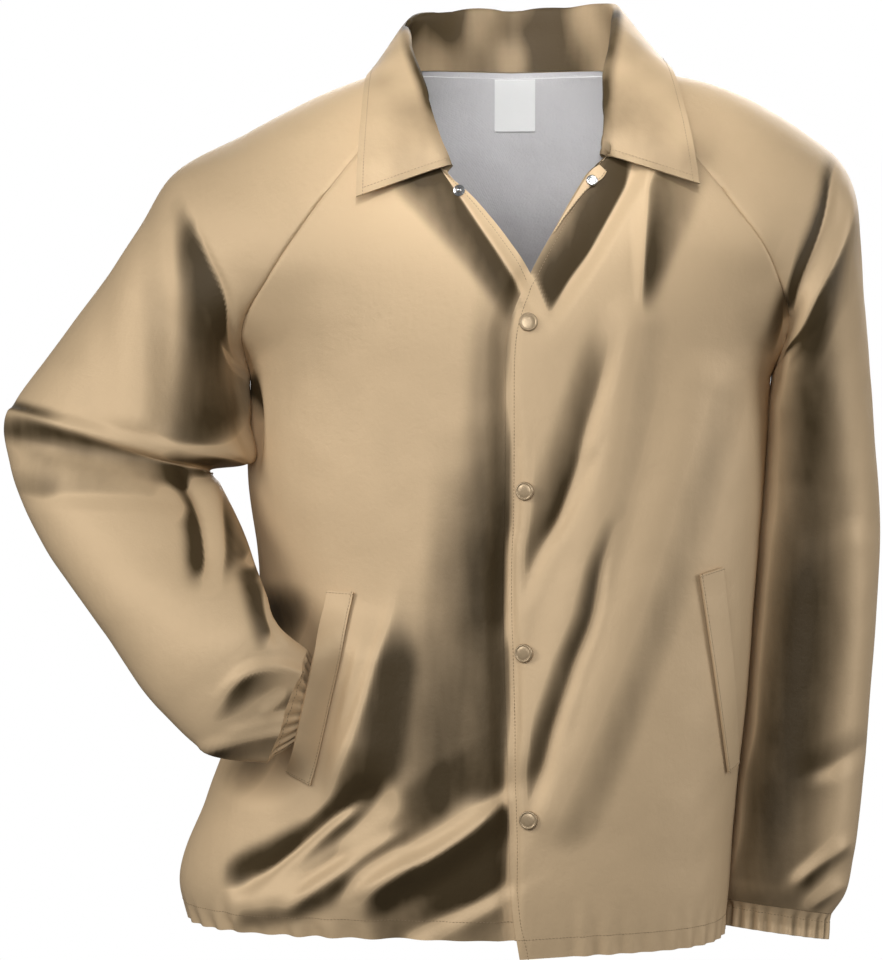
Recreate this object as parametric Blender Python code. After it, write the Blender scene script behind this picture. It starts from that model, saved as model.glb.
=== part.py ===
"""Hip-length snap-front jacket with raglan sleeves and a shirt collar, in the hollow form it has when worn.

The wearer's right arm is bent to the pocket and the left arm hangs. Metres, +Z up, the front faces -Y and
the wearer's right is -X. The origin lies between the shoulders, at the height of the back neck seam.
"""

import math
from collections import namedtuple

import bmesh
import bpy
import numpy as np
from mathutils import Matrix, Vector
from mathutils.bvhtree import BVHTree

# Walls and clearances
SHELL_WALL = 0.0015
COLLAR_WALL = 0.0020
LINING_WALL = 0.0010
WELT_WALL = 0.0020
LABEL_WALL = 0.0010
SEAM_GAP = 0.0003
LAY_GAP = 0.0005

# Grid sizes: columns across a panel, stations along it
FRONT_COLUMNS = 12
BACK_COLUMNS = 11
SLEEVE_COLUMNS = 9
COLLAR_COLUMNS = 20
STAND_ROWS = 3
FALL_ROWS = 5
HEM_STATIONS = (0.0, 0.036, 0.08)
BODY_STATIONS = (0.08, 0.14, 0.21, 0.28, 0.35, 0.42, 0.49, 0.56, 0.64, 0.72, 0.81, 0.90, 1.0)
RAGLAN_STATIONS = (1.0, 1.07, 1.15, 1.25, 1.36, 1.48, 1.61, 1.74, 1.87, 2.0)
WRIST_STATIONS = (1.0, 0.96, 0.91, 0.85, 0.78, 0.71, 0.63, 0.55, 0.47)
ELBOW_STATIONS = (0.40, 0.355, 0.32, 0.285, 0.25)
ARM_STATIONS = WRIST_STATIONS + ELBOW_STATIONS + (0.18, 0.11, 0.05)

# Gathers of the hem and of the elastic cuffs
HEM_POINTS_PER_GATHER = 4
HEM_GATHER_SHARE = (0.7, 1.0, 0.0)
CUFF_GATHERS = 22
CUFF_POINTS_PER_GATHER = 4

# Front closing: the wearer's left front lies over the right one
LAP_DROP = 0.0038
LAP_EASE = 0.018
LAP_CENTRE = 0.0175
LAP_FLAT = (0.022, 0.050)

# Snaps: caps on the wearer's left front, the open pair higher up
SNAP_SEGMENTS = 16
SNAP_CAP_RADIUS = 0.0082
SNAP_CAP_HEIGHT = 0.0028
SNAP_CAP_EDGE = 0.0011
SNAP_INSET = 0.0172
SNAP_HEIGHTS = (-0.2235, -0.3705, -0.5113, -0.6565)
SNAP_PART_RADIUS = 0.0052
SNAP_PART_HEIGHT = 0.0024
SNAP_PART_RECESS = 0.0023
SNAP_PART_DEPTH = 0.0014
STUD_POST_RADIUS = 0.0018
SOCKET_PLACE = (0.0690, -0.1000)
STUD_PLACE = (-0.0465, -0.1085)

# The neck label hangs on the lining: left, right, top and bottom
LABEL_BOX = (-0.015, 0.021, -0.006, -0.051)
LINING_STATIONS = (1.07, 1.15, 1.25, 1.36, 1.48, 1.61, 1.74, 1.87, 1.995)

RIGHT, LEFT = "right", "left"
FORWARD = np.array([0.0, -1.0, 0.0])


def profile(columns, *rows):
    """A short table: each named column as a function of the first column, the station."""
    data = np.array(rows, float)
    return {name: (data[:, 0], data[:, i]) for i, name in enumerate(columns.split())}


# Side seams, from the hem (v = 0) to the underarm (v = 1)
SIDE_SEAM = {
    RIGHT: profile(
        "v x y z",
        (0.00, -0.284, 0.000, -0.744),
        (0.06, -0.292, 0.000, -0.716),
        (0.22, -0.2695, 0.000, -0.640),
        (0.40, -0.239, 0.000, -0.554),
        (0.62, -0.2225, 0.000, -0.450),
        (0.82, -0.2325, 0.000, -0.355),
        (1.00, -0.230, 0.004, -0.270),
    ),
    LEFT: profile(
        "v x y z",
        (0.00, 0.187, 0.000, -0.756),
        (0.06, 0.190, 0.000, -0.723),
        (0.22, 0.196, 0.000, -0.646),
        (0.40, 0.206, 0.000, -0.559),
        (0.62, 0.214, 0.000, -0.453),
        (0.82, 0.222, 0.000, -0.357),
        (1.00, 0.228, 0.004, -0.270),
    ),
}

# Front edges, from the hem (v = 0) past the underarm level (v = 1) to the collar's end (v = 2)
FRONT_EDGE = {
    RIGHT: profile(
        "v x y z",
        (0.00, 0.037, -0.121, -0.766),
        (0.06, 0.031, -0.129, -0.741),
        (0.22, 0.028, -0.141, -0.668),
        (0.40, 0.0255, -0.146, -0.577),
        (0.62, 0.023, -0.147, -0.466),
        (0.82, 0.0255, -0.145, -0.366),
        (1.00, 0.026, -0.141, -0.275),
        (1.25, 0.026, -0.137, -0.221),
        (1.45, 0.018, -0.132, -0.185),
        (1.65, -0.004, -0.125, -0.151),
        (1.85, -0.034, -0.115, -0.113),
        (2.00, -0.0555, -0.106, -0.090),
    ),
    LEFT: profile(
        "v x y z",
        (0.00, 0.006, -0.121, -0.779),
        (0.06, 0.001, -0.129, -0.748),
        (0.22, -0.003, -0.141, -0.668),
        (0.40, -0.0055, -0.146, -0.577),
        (0.62, -0.008, -0.147, -0.466),
        (0.82, -0.0065, -0.145, -0.366),
        (1.00, -0.006, -0.141, -0.275),
        (1.20, -0.0045, -0.138, -0.226),
        (1.40, 0.0165, -0.132, -0.178),
        (1.60, 0.037, -0.125, -0.141),
        (1.82, 0.0575, -0.115, -0.105),
        (1.92, 0.0660, -0.110, -0.092),
        (2.00, 0.0790, -0.106, -0.0805),
    ),
}

# Centre back, from the hem (v = 0) to the neck seam (v = 2)
CENTRE_BACK = profile(
    "v x y z",
    (0.00, -0.045, 0.112, -0.760),
    (0.06, -0.047, 0.120, -0.733),
    (0.22, -0.036, 0.124, -0.655),
    (0.40, -0.020, 0.122, -0.566),
    (0.62, -0.008, 0.123, -0.458),
    (0.82, -0.004, 0.130, -0.360),
    (1.00, 0.000, 0.136, -0.272),
    (1.25, 0.000, 0.137, -0.205),
    (1.50, 0.000, 0.131, -0.143),
    (1.75, 0.000, 0.114, -0.076),
    (2.00, 0.000, 0.080, 0.000),
)

# Raglan seams, from the underarm (v = 1) to the neck (v = 2), on the front and on the back
FRONT_RAGLAN = {
    RIGHT: profile(
        "v x y z",
        (1.00, -0.230, 0.004, -0.270),
        (1.15, -0.237, -0.055, -0.232),
        (1.35, -0.214, -0.094, -0.184),
        (1.60, -0.172, -0.098, -0.121),
        (1.80, -0.137, -0.085, -0.076),
        (2.00, -0.103, -0.064, -0.036),
    ),
    LEFT: profile(
        "v x y z",
        (1.00, 0.228, 0.004, -0.270),
        (1.15, 0.242, -0.055, -0.228),
        (1.35, 0.228, -0.093, -0.172),
        (1.60, 0.190, -0.098, -0.115),
        (1.80, 0.157, -0.086, -0.075),
        (2.00, 0.112, -0.062, -0.034),
    ),
}
BACK_RAGLAN = {
    RIGHT: profile(
        "v x y z",
        (1.00, -0.230, 0.004, -0.270),
        (1.15, -0.236, 0.060, -0.228),
        (1.35, -0.208, 0.102, -0.172),
        (1.60, -0.162, 0.112, -0.105),
        (1.80, -0.122, 0.097, -0.050),
        (2.00, -0.082, 0.062, 0.002),
    ),
    LEFT: profile(
        "v x y z",
        (1.00, 0.228, 0.004, -0.270),
        (1.15, 0.240, 0.060, -0.228),
        (1.35, 0.214, 0.102, -0.172),
        (1.60, 0.166, 0.112, -0.105),
        (1.80, 0.124, 0.097, -0.050),
        (2.00, 0.082, 0.062, 0.002),
    ),
}

# The sleeve's top line over the shoulder; front and back are how far its curve reaches either way in depth
SHOULDER_LINE = {
    RIGHT: profile(
        "v x y z front back",
        (1.00, -0.354, 0.005, -0.179, 0.104, 0.104),
        (1.15, -0.328, 0.007, -0.142, 0.088, 0.088),
        (1.35, -0.3045, 0.010, -0.0950, 0.066, 0.066),
        (1.60, -0.232, 0.012, -0.055, 0.058, 0.058),
        (1.80, -0.165, 0.010, -0.0205, 0.048, 0.048),
        (2.00, -0.098, 0.000, 0.004, 0.030, 0.030),
    ),
    LEFT: profile(
        "v x y z front back",
        (1.00, 0.314, 0.030, -0.232, 0.104, 0.104),
        (1.15, 0.3085, 0.024, -0.182, 0.090, 0.090),
        (1.35, 0.304, 0.016, -0.105, 0.068, 0.068),
        (1.60, 0.258, 0.012, -0.0555, 0.060, 0.060),
        (1.80, 0.188, 0.010, -0.0165, 0.048, 0.048),
        (2.00, 0.098, 0.000, 0.004, 0.030, 0.030),
    ),
}

# Sleeve rings, from the underarm (t = 0) to the cuff seam (t = 1): outer point, inner point, half depths
ARM_RINGS = {
    RIGHT: profile(
        "t outer_x outer_y outer_z inner_x inner_y inner_z front back",
        (0.00, -0.354, 0.005, -0.179, -0.2300, 0.004, -0.270, 0.078, 0.078),
        (0.12, -0.396, 0.000, -0.236, -0.2330, -0.020, -0.308, 0.074, 0.074),
        (0.25, -0.437, -0.006, -0.292, -0.2330, -0.036, -0.347, 0.068, 0.070),
        (0.32, -0.447, -0.012, -0.313, -0.2650, -0.034, -0.352, 0.056, 0.062),
        (0.40, -0.441, -0.024, -0.348, -0.2585, -0.044, -0.366, 0.062, 0.062),
        (0.55, -0.413, -0.058, -0.414, -0.2320, -0.082, -0.418, 0.060, 0.056),
        (0.72, -0.3565, -0.104, -0.493, -0.2150, -0.130, -0.458, 0.048, 0.040),
        (0.85, -0.306, -0.132, -0.562, -0.2070, -0.146, -0.482, 0.040, 0.030),
        (0.94, -0.257, -0.140, -0.602, -0.1950, -0.144, -0.496, 0.030, 0.022),
        (1.00, -0.214, -0.131, -0.607, -0.1790, -0.131, -0.508, 0.020, 0.017),
    ),
    LEFT: profile(
        "t outer_x outer_y outer_z inner_x inner_y inner_z front back",
        (0.00, 0.314, 0.030, -0.232, 0.2280, 0.004, -0.270, 0.078, 0.078),
        (0.12, 0.3185, 0.038, -0.300, 0.2250, 0.030, -0.318, 0.080, 0.080),
        (0.30, 0.3255, 0.048, -0.400, 0.2120, 0.058, -0.405, 0.078, 0.078),
        (0.45, 0.3220, 0.052, -0.480, 0.2065, 0.062, -0.482, 0.076, 0.076),
        (0.60, 0.3160, 0.052, -0.560, 0.1995, 0.062, -0.560, 0.073, 0.073),
        (0.75, 0.3090, 0.048, -0.640, 0.1910, 0.060, -0.635, 0.068, 0.068),
        (0.86, 0.3020, 0.042, -0.692, 0.1870, 0.054, -0.687, 0.062, 0.062),
        (0.95, 0.2930, 0.038, -0.728, 0.1860, 0.048, -0.717, 0.052, 0.052),
        (1.00, 0.2825, 0.036, -0.7435, 0.1880, 0.044, -0.728, 0.042, 0.042),
    ),
}

# Cuff rings, from near the sleeve seam (t = 0) to the open end (t = 1)
CUFF_RINGS = {
    RIGHT: profile(
        "t outer_x outer_y outer_z inner_x inner_y inner_z front back gather",
        (0.00, -0.2085, -0.1275, -0.6010, -0.1775, -0.1285, -0.5110, 0.017, 0.014, 0.0008),
        (0.50, -0.1985, -0.1215, -0.5950, -0.1745, -0.1220, -0.5190, 0.0120, 0.0110, 0.0010),
        (1.00, -0.1880, -0.1165, -0.5880, -0.1705, -0.1175, -0.5265, 0.0090, 0.0090, 0.0008),
    ),
    LEFT: profile(
        "t outer_x outer_y outer_z inner_x inner_y inner_z front back gather",
        (0.00, 0.2800, 0.0360, -0.7495, 0.1870, 0.0430, -0.7345, 0.038, 0.038, 0.0014),
        (0.50, 0.2795, 0.0360, -0.7580, 0.1862, 0.0420, -0.7440, 0.035, 0.035, 0.0018),
        (1.00, 0.2790, 0.0360, -0.7660, 0.1855, 0.0420, -0.7530, 0.036, 0.036, 0.0016),
    ),
}
CUFF_STATIONS = (1.0, 0.5, 0.0)

# Collar sections, from the front end (s = 0) to the centre back (s = 1): its roll line and its free edge
COLLAR = {
    RIGHT: profile(
        "s roll_x roll_y roll_z edge_x edge_y edge_z",
        (0.00, -0.0530, -0.1100, -0.0860, -0.1365, -0.1180, -0.1144),
        (0.14, -0.0635, -0.0990, -0.0600, -0.1355, -0.1060, -0.0820),
        (0.27, -0.0745, -0.0700, -0.0260, -0.1330, -0.0880, -0.0500),
        (0.50, -0.0920, -0.0120, 0.0230, -0.1260, -0.0200, -0.0060),
        (0.73, -0.0830, 0.0540, 0.0490, -0.1100, 0.0860, -0.0080),
        (0.86, -0.0480, 0.0770, 0.0540, -0.0600, 0.1010, -0.0110),
        (1.00, 0.0000, 0.0830, 0.0545, 0.0000, 0.1050, -0.0120),
    ),
    LEFT: profile(
        "s roll_x roll_y roll_z edge_x edge_y edge_z",
        (0.00, 0.0780, -0.1100, -0.0770, 0.1630, -0.1180, -0.1030),
        (0.14, 0.0805, -0.0970, -0.0450, 0.1585, -0.1050, -0.0740),
        (0.27, 0.0825, -0.0680, -0.0100, 0.1530, -0.0860, -0.0480),
        (0.50, 0.0915, -0.0120, 0.0385, 0.1380, -0.0200, 0.0005),
        (0.73, 0.0835, 0.0520, 0.0590, 0.1190, 0.0830, 0.0000),
        (0.86, 0.0480, 0.0770, 0.0565, 0.0600, 0.1010, -0.0100),
        (1.00, 0.0000, 0.0830, 0.0545, 0.0000, 0.1050, -0.0120),
    ),
}
ROLL_REACH = 0.0085
COLLAR_CLEAR = 0.0018
COLLAR_SEAM = 0.0010

# Pocket welts, from the top (r = 0) to the bottom (r = 1): stitched edge, free edge, how far that is lifted
WELT = {
    RIGHT: profile(
        "r held_x held_z free_x free_z lift",
        (0.00, -0.1375, -0.4590, -0.1600, -0.4580, 0.0),
        (0.20, -0.1450, -0.4926, -0.1670, -0.4896, 0.5),
        (0.35, -0.1507, -0.5178, -0.1722, -0.5133, 1.0),
        (0.55, -0.1582, -0.5514, -0.1792, -0.5449, 1.0),
        (0.75, -0.1657, -0.5850, -0.1862, -0.5765, 1.0),
        (0.90, -0.1713, -0.6102, -0.1915, -0.6002, 0.85),
        (1.00, -0.1750, -0.6270, -0.1950, -0.6160, 0.0),
    ),
    LEFT: profile(
        "r held_x held_z free_x free_z lift",
        (0.00, 0.1620, -0.4435, 0.1820, -0.4370, 0.0),
        (0.50, 0.1750, -0.5303, 0.1910, -0.5230, 0.0),
        (1.00, 0.1870, -0.6170, 0.1963, -0.6090, 0.0),
    ),
}
WELT_STATIONS = (0.0, 0.08, 0.16, 0.25, 0.35, 0.45, 0.55, 0.65, 0.75, 0.84, 0.92, 1.0)
WELT_SHARES = (0.0, 0.5, 1.0)
WELT_CLEAR = 0.0015
WELT_STAND = 0.0120

# The turned-out facing beside the neck opening: its fold at the front edge and its free edge
FACING = profile(
    "r fold_x fold_z free_x free_z",
    (0.00, 0.0345, -0.1465, 0.0370, -0.1445),
    (0.30, 0.0410, -0.1360, 0.0470, -0.1298),
    (0.60, 0.0542, -0.1140, 0.0650, -0.1078),
    (0.85, 0.0690, -0.0915, 0.0785, -0.0975),
    (1.00, 0.0755, -0.0865, 0.0815, -0.0925),
)
FACING_STATIONS = (0.0, 0.15, 0.3, 0.45, 0.6, 0.75, 0.88, 1.0)

# Hem gather heights across the jacket
HEM_GATHERS = profile(
    "x height",
    (-0.300, 0.0016),
    (-0.240, 0.0034),
    (-0.130, 0.0032),
    (-0.080, 0.0016),
    (0.070, 0.0020),
    (0.130, 0.0014),
    (0.200, 0.0014),
)

# The largest folds: where they lie, their line seen from the front, its bow, half width and height
Fold = namedtuple("Fold", "where faces x0 z0 x1 z1 bow half_width height")
FOLDS = (
    ("all", -1, -0.081, -0.114, -0.022, -0.205, -0.006, 0.024, -0.0050),
    ("all", -1, 0.085, -0.110, 0.030, -0.215, 0.004, 0.022, -0.0045),
    ("body", -1, -0.017, -0.260, -0.017, -0.540, 0.000, 0.024, -0.0035),
    ("body", -1, -0.135, -0.520, -0.142, -0.590, 0.000, 0.055, 0.0150),
    ("body", -1, -0.205, -0.500, -0.222, -0.600, 0.000, 0.052, -0.0160),
    ("body", -1, -0.121, -0.640, -0.230, -0.708, 0.006, 0.026, -0.0065),
    ("body", -1, -0.100, -0.695, -0.236, -0.735, 0.004, 0.022, 0.0040),
    ("body", -1, -0.030, -0.655, -0.120, -0.718, 0.004, 0.026, 0.0050),
    ("all", -1, 0.105, -0.225, 0.012, -0.600, 0.010, 0.032, 0.0060),
    ("all", -1, 0.130, -0.300, 0.040, -0.640, 0.010, 0.028, -0.0045),
    ("all", -1, 0.160, -0.250, 0.062, -0.640, 0.010, 0.032, 0.0055),
    ("all", -1, -0.285, -0.120, -0.262, -0.320, 0.006, 0.030, -0.0100),
    ("all", -1, -0.340, -0.150, -0.330, -0.300, 0.004, 0.034, 0.0050),
    ("arm", -1, -0.285, -0.385, -0.262, -0.440, 0.004, 0.024, -0.0070),
    ("arm", -1, -0.300, -0.520, -0.225, -0.535, 0.004, 0.022, 0.0045),
    ("all", -1, 0.282, -0.100, 0.252, -0.215, -0.006, 0.022, -0.0080),
    ("all", -1, 0.302, -0.130, 0.272, -0.260, -0.004, 0.020, -0.0060),
    ("arm", -1, 0.255, -0.330, 0.240, -0.640, 0.008, 0.034, -0.0060),
    ("arm", -1, 0.300, -0.420, 0.285, -0.680, 0.004, 0.030, 0.0040),
    ("all", 1, -0.150, -0.180, -0.060, -0.420, -0.012, 0.040, -0.0070),
    ("all", 1, 0.150, -0.180, 0.070, -0.430, 0.012, 0.040, -0.0065),
    ("body", 1, -0.060, -0.420, -0.190, -0.660, 0.010, 0.038, 0.0060),
    ("body", 1, 0.060, -0.460, 0.120, -0.690, 0.010, 0.036, 0.0055),
    ("all", 1, -0.270, -0.130, -0.300, -0.290, 0.006, 0.032, -0.0080),
    ("all", 1, 0.272, -0.130, 0.250, -0.270, 0.006, 0.030, -0.0080),
    ("arm", 1, 0.270, -0.340, 0.250, -0.620, 0.008, 0.034, -0.0060),
)


def along(table, name, station):
    """Value of a column at a station: a cubic through the rows, with slopes from their neighbours."""
    knots, values = table[name]
    slopes = np.gradient(values, knots)
    i = int(np.clip(np.searchsorted(knots, station) - 1, 0, len(knots) - 2))
    step = knots[i + 1] - knots[i]
    s = (station - knots[i]) / step
    return (
        (2 * s**3 - 3 * s**2 + 1) * values[i]
        + (s**3 - 2 * s**2 + s) * step * slopes[i]
        + (3 * s**2 - 2 * s**3) * values[i + 1]
        + (s**3 - s**2) * step * slopes[i + 1]
    )


def place(table, station, prefix=""):
    """The point that a table gives at a station."""
    return np.array([along(table, prefix + axis, station) for axis in "xyz"])


def smoothstep(value, low, high):
    s = np.clip((np.asarray(value, float) - low) / (high - low), 0.0, 1.0)
    return s * s * (3.0 - 2.0 * s)


def unit(vectors):
    return vectors / np.maximum(np.linalg.norm(vectors, axis=-1, keepdims=True), 1e-12)


def bezier(start, lead, end, tail, count):
    """count + 1 points of the cubic that leaves start along lead and comes to end from end + tail."""
    s = np.linspace(0.0, 1.0, count + 1)[:, None]
    return (
        (1 - s) ** 3 * start
        + 3 * (1 - s) ** 2 * s * (start + lead)
        + 3 * (1 - s) * s**2 * (end + tail)
        + s**3 * end
    )


def turn(v):
    """0 at the underarm, where cloth wraps the side, and 1 higher up, where it lies on the chest or back."""
    return float(smoothstep(v, 1.0, 1.4))


def spread(v):
    """How far sleeve and body lean apart where they leave the underarm."""
    return float(smoothstep(v, 1.0, 1.1))


def body_leads(seam, middle, v):
    """Handles of a body row: at its side or raglan seam, and at the front edge or centre back."""
    span = middle - seam
    drop = 0.80 - 0.47 * float(smoothstep(v, 0.0, 0.2))
    wrap = np.array([0.10 * spread(v) * span[0], 0.60 * span[1], drop * span[2]])
    across = np.array([0.36, 0.60, 0.36]) * span
    lead = wrap * (1 - turn(v)) + across * turn(v)
    tail_share = 0.58 * (1 - turn(v)) + 0.38 * turn(v)
    tail = -np.array([tail_share * span[0], 0.0, 0.33 * span[2]])
    return lead, tail


def front_row(side, v, count):
    """A row of a front panel, from its side or raglan seam to its front edge."""
    seam = place(SIDE_SEAM[side], v) if v <= 1 else place(FRONT_RAGLAN[side], v)
    edge = place(FRONT_EDGE[side], v)
    lead, tail = body_leads(seam, edge, v)
    row = bezier(seam, lead, edge, tail, count)
    return row if side == RIGHT else row[::-1]


def back_row(v, count):
    """A row of the back panel, from the left seam over the centre to the right seam."""
    halves = {}
    for side in (LEFT, RIGHT):
        seam = place(SIDE_SEAM[side], v) if v <= 1 else place(BACK_RAGLAN[side], v)
        centre = place(CENTRE_BACK, v)
        lead, tail = body_leads(seam, centre, v)
        halves[side] = bezier(seam, lead, centre, tail, count)
    return np.vstack([halves[LEFT], halves[RIGHT][::-1][1:]])


def sleeve_arc(side, v):
    """An arc of a sleeve above the underarm, from the front raglan seam over the shoulder to the back one."""
    top = place(SHOULDER_LINE[side], v)
    outward = np.array([math.copysign(1.0, top[0]), 0.0, 0.0])
    halves = []
    for seams, middle, depth, column in (
        (FRONT_RAGLAN, place(FRONT_EDGE[side], v), FORWARD, "front"),
        (BACK_RAGLAN, place(CENTRE_BACK, v), -FORWARD, "back"),
    ):
        seam = place(seams[side], v)
        body_lead, _ = body_leads(seam, middle, v)
        reach = along(ARM_RINGS[side], column, 0.0) * 4 / 3
        round_arm = depth * reach + outward * reach * 0.35 * spread(v)
        away = -unit(body_lead) * 0.48 * np.linalg.norm(top - seam)
        lead = round_arm * (1 - turn(v)) + away * turn(v)
        halves.append(bezier(seam, lead, top, depth * along(SHOULDER_LINE[side], column, v), SLEEVE_COLUMNS))
    arc = np.vstack([halves[0], halves[1][::-1][1:]])
    return arc if side == LEFT else arc[::-1]


def ring(table, t, count):
    """A closed ring of a sleeve or cuff, from its inner line round the front and the back to it again."""
    outer, inner = place(table, t, "outer_"), place(table, t, "inner_")
    front = FORWARD * along(table, "front", t) * 4 / 3
    back = -FORWARD * along(table, "back", t) * 4 / 3
    half = bezier(inner, front, outer, front, count)
    closed = np.vstack([half, bezier(outer, back, inner, back, count)[1:]])
    return closed if outer[0] > 0 else closed[::-1]


def grid_normals(grid):
    """Outward unit normals of a grid whose rows run up and whose columns run right, seen from outside."""
    normals = unit(np.cross(np.gradient(grid, axis=1), np.gradient(grid, axis=0)))
    for row, row_in in ((0, 1), (-1, -2)):
        for column, column_in in ((0, 1), (-1, -2)):
            normals[row, column] = unit(normals[row, column_in] + normals[row_in, column])
    return normals


def shared_normals(grids):
    """Normals of all grids, the same on both sides of a seam except in a sharp crease, which is marked."""
    normals = {name: grid_normals(grid) for name, grid in grids.items()}
    creased = {name: np.zeros(grid.shape[:2]) for name, grid in grids.items()}
    meeting = {}
    for name, grid in grids.items():
        for place_in_grid in np.ndindex(grid.shape[:2]):
            meeting.setdefault(tuple(np.round(grid[place_in_grid], 6)), []).append((name, place_in_grid))
    shared = {name: own.copy() for name, own in normals.items()}
    for members in meeting.values():
        if len(members) > 1:
            own = np.array([normals[name][spot] for name, spot in members])
            alike = own @ own.T
            for i, (name, spot) in enumerate(members):
                shared[name][spot] = unit(own[alike[i] > 0.2].sum(axis=0))
                creased[name][spot] = float((alike[i] <= 0.2).any())
    return shared, creased


def fold_heights(kind, points, normals):
    """How far the folds move the points of a panel out along their normals."""
    x, z = points[..., 0], points[..., 2]
    total = np.zeros(x.shape)
    for fold in (Fold(*row) for row in FOLDS):
        if fold.where not in ("all", kind):
            continue
        length = math.hypot(fold.x1 - fold.x0, fold.z1 - fold.z0)
        ux, uz = (fold.x1 - fold.x0) / length, (fold.z1 - fold.z0) / length
        run = (x - fold.x0) * ux + (z - fold.z0) * uz
        share = np.clip(run / length, 0.0, 1.0)
        aside = (z - fold.z0) * ux - (x - fold.x0) * uz - fold.bow * 4 * share * (1 - share)
        beyond = run - share * length
        near = np.clip(np.hypot(aside, beyond) / fold.half_width, 0.0, 1.0)
        facing = smoothstep(normals[..., 1] * fold.faces, 0.0, 0.4)
        total += fold.height * np.cos(near * math.pi / 2) ** 2 * facing
    return total


def left_edge_x(z):
    """The line of the wearer's left front edge, seen from the front."""
    stations = np.linspace(0.0, 2.0, 81)
    line = np.array([place(FRONT_EDGE[LEFT], v) for v in stations])
    return np.interp(z, line[:, 2], line[:, 0])


def lap_drop(points):
    """How far the right front lies behind its own line, where the left front covers it."""
    past = points[..., 0] - left_edge_x(points[..., 2])
    return LAP_DROP * smoothstep(past, -LAP_EASE, -0.002)


def hem_gathers(points):
    """Waves of the hem rows, one to each column of the panel above."""
    waves = np.sin(np.arange(points.shape[1]) * 2 * math.pi / HEM_POINTS_PER_GATHER)
    height = np.interp(points[..., 0], *HEM_GATHERS["height"])
    flat = np.where(points[..., 1] < 0, smoothstep(np.abs(points[..., 0] - LAP_CENTRE), *LAP_FLAT), 1.0)
    return np.array(HEM_GATHER_SHARE)[:, None] * waves * height * flat


def build_skins():
    """The outer surface of the five main panels with its folds: points and normals by name."""
    grids = {}
    rows = BODY_STATIONS + RAGLAN_STATIONS[1:]
    fine = HEM_POINTS_PER_GATHER
    for side in (RIGHT, LEFT):
        name = "front_" + side
        grids[name] = np.array([front_row(side, v, FRONT_COLUMNS) for v in rows])
        grids[name + "/hem"] = np.array([front_row(side, v, FRONT_COLUMNS * fine) for v in HEM_STATIONS])
        arm = [ring(ARM_RINGS[side], t, SLEEVE_COLUMNS) for t in ARM_STATIONS]
        grids["sleeve_" + side] = np.array(arm + [sleeve_arc(side, v) for v in RAGLAN_STATIONS])
    grids["back"] = np.array([back_row(v, BACK_COLUMNS) for v in rows])
    grids["back/hem"] = np.array([back_row(v, BACK_COLUMNS * fine) for v in HEM_STATIONS])
    normals, _ = shared_normals(grids)
    moved = {}
    for name, grid in grids.items():
        kind = "arm" if name.startswith("sleeve") else "body"
        offset = fold_heights(kind, grid, normals[name])
        if name.startswith("front_right"):
            offset = offset - lap_drop(grid)
        if name.endswith("/hem"):
            offset = offset + hem_gathers(grid)
        moved[name] = grid + normals[name] * offset[..., None]
    normals, creased = shared_normals(moved)
    return moved, normals, creased


def part_from_seams(name, grid, normals, creased):
    """The grid with its seam columns drawn back by half of the seam gap."""
    result = grid.copy()
    start = len(ARM_STATIONS) if name.startswith("sleeve") else 0
    ends = {"front_right": (0,), "front_left": (-1,)}.get(name.split("/")[0], (0, -1))
    for column in ends:
        inner = 1 if column == 0 else -2
        seam = unit(np.gradient(grid[:, column], axis=0))
        inward = grid[:, inner] - grid[:, column]
        inward -= seam * (inward * seam).sum(axis=1, keepdims=True)
        inward -= normals[:, column] * (inward * normals[:, column]).sum(axis=1, keepdims=True)
        shift = unit(inward) - normals[:, column] * creased[:, column][:, None] * 1.4
        if start:
            shift[start] = -normals[start, column] * 1.6
        result[start:, column] += 0.55 * SEAM_GAP * shift[start:]
    return result


class Skin:
    """Rows of points with a face for every cell; rows may be rings, and the first rows may be finer."""

    def __init__(self, rows, tied_rows=0):
        self.counts = [len(row) for row in rows]
        self.offsets = np.concatenate([[0], np.cumsum(self.counts)]).astype(int)
        self.points = np.vstack(rows)
        self.tied_rows = tied_rows

    def index(self, row, column):
        if row < self.tied_rows and column == self.counts[row] - 1:
            column = 0
        return int(self.offsets[row] + column)

    def faces(self):
        result = []
        for r in range(len(self.counts) - 1):
            below, above = self.counts[r] - 1, self.counts[r + 1] - 1
            split = below // above
            for c in range(above):
                a, b = self.index(r + 1, c), self.index(r + 1, c + 1)
                low = [self.index(r, c * split + i) for i in range(split + 1)]
                if split == 1:
                    result.append((low[0], low[1], b, a))
                    continue
                half = split // 2
                result += [(low[i], low[i + 1], a) for i in range(half)]
                result.append((a, low[half], b))
                result += [(low[i], low[i + 1], b) for i in range(half, split)]
        return result

    def triangles(self):
        """The faces, each cell cut along its shorter diagonal."""
        result = []
        for face in self.faces():
            if len(face) == 3:
                result.append(face)
                continue
            a, b, c, d = face
            first = np.linalg.norm(self.points[a] - self.points[c])
            second = np.linalg.norm(self.points[b] - self.points[d])
            result += [(a, b, c), (a, c, d)] if first <= second else [(a, b, d), (b, c, d)]
        return result


def solid(name, outer_rows, inner_rows, tied_rows=0):
    """A closed wall between two skins of the same layout."""
    outer, inner = Skin(outer_rows, tied_rows), Skin(inner_rows, tied_rows)
    count = len(outer.points)
    skin = outer.triangles()
    directed = {(f[i], f[(i + 1) % len(f)]) for f in skin for i in range(len(f))}
    rim = [(b, a, a + count, b + count) for a, b in sorted(directed) if (b, a) not in directed]
    faces = skin + [tuple(i + count for i in reversed(f)) for f in skin] + rim
    mesh = bpy.data.meshes.new(name)
    points = np.vstack([outer.points, inner.points])
    mesh.from_pydata([tuple(p) for p in points], [], faces)
    return add_object(name, mesh)


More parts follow.
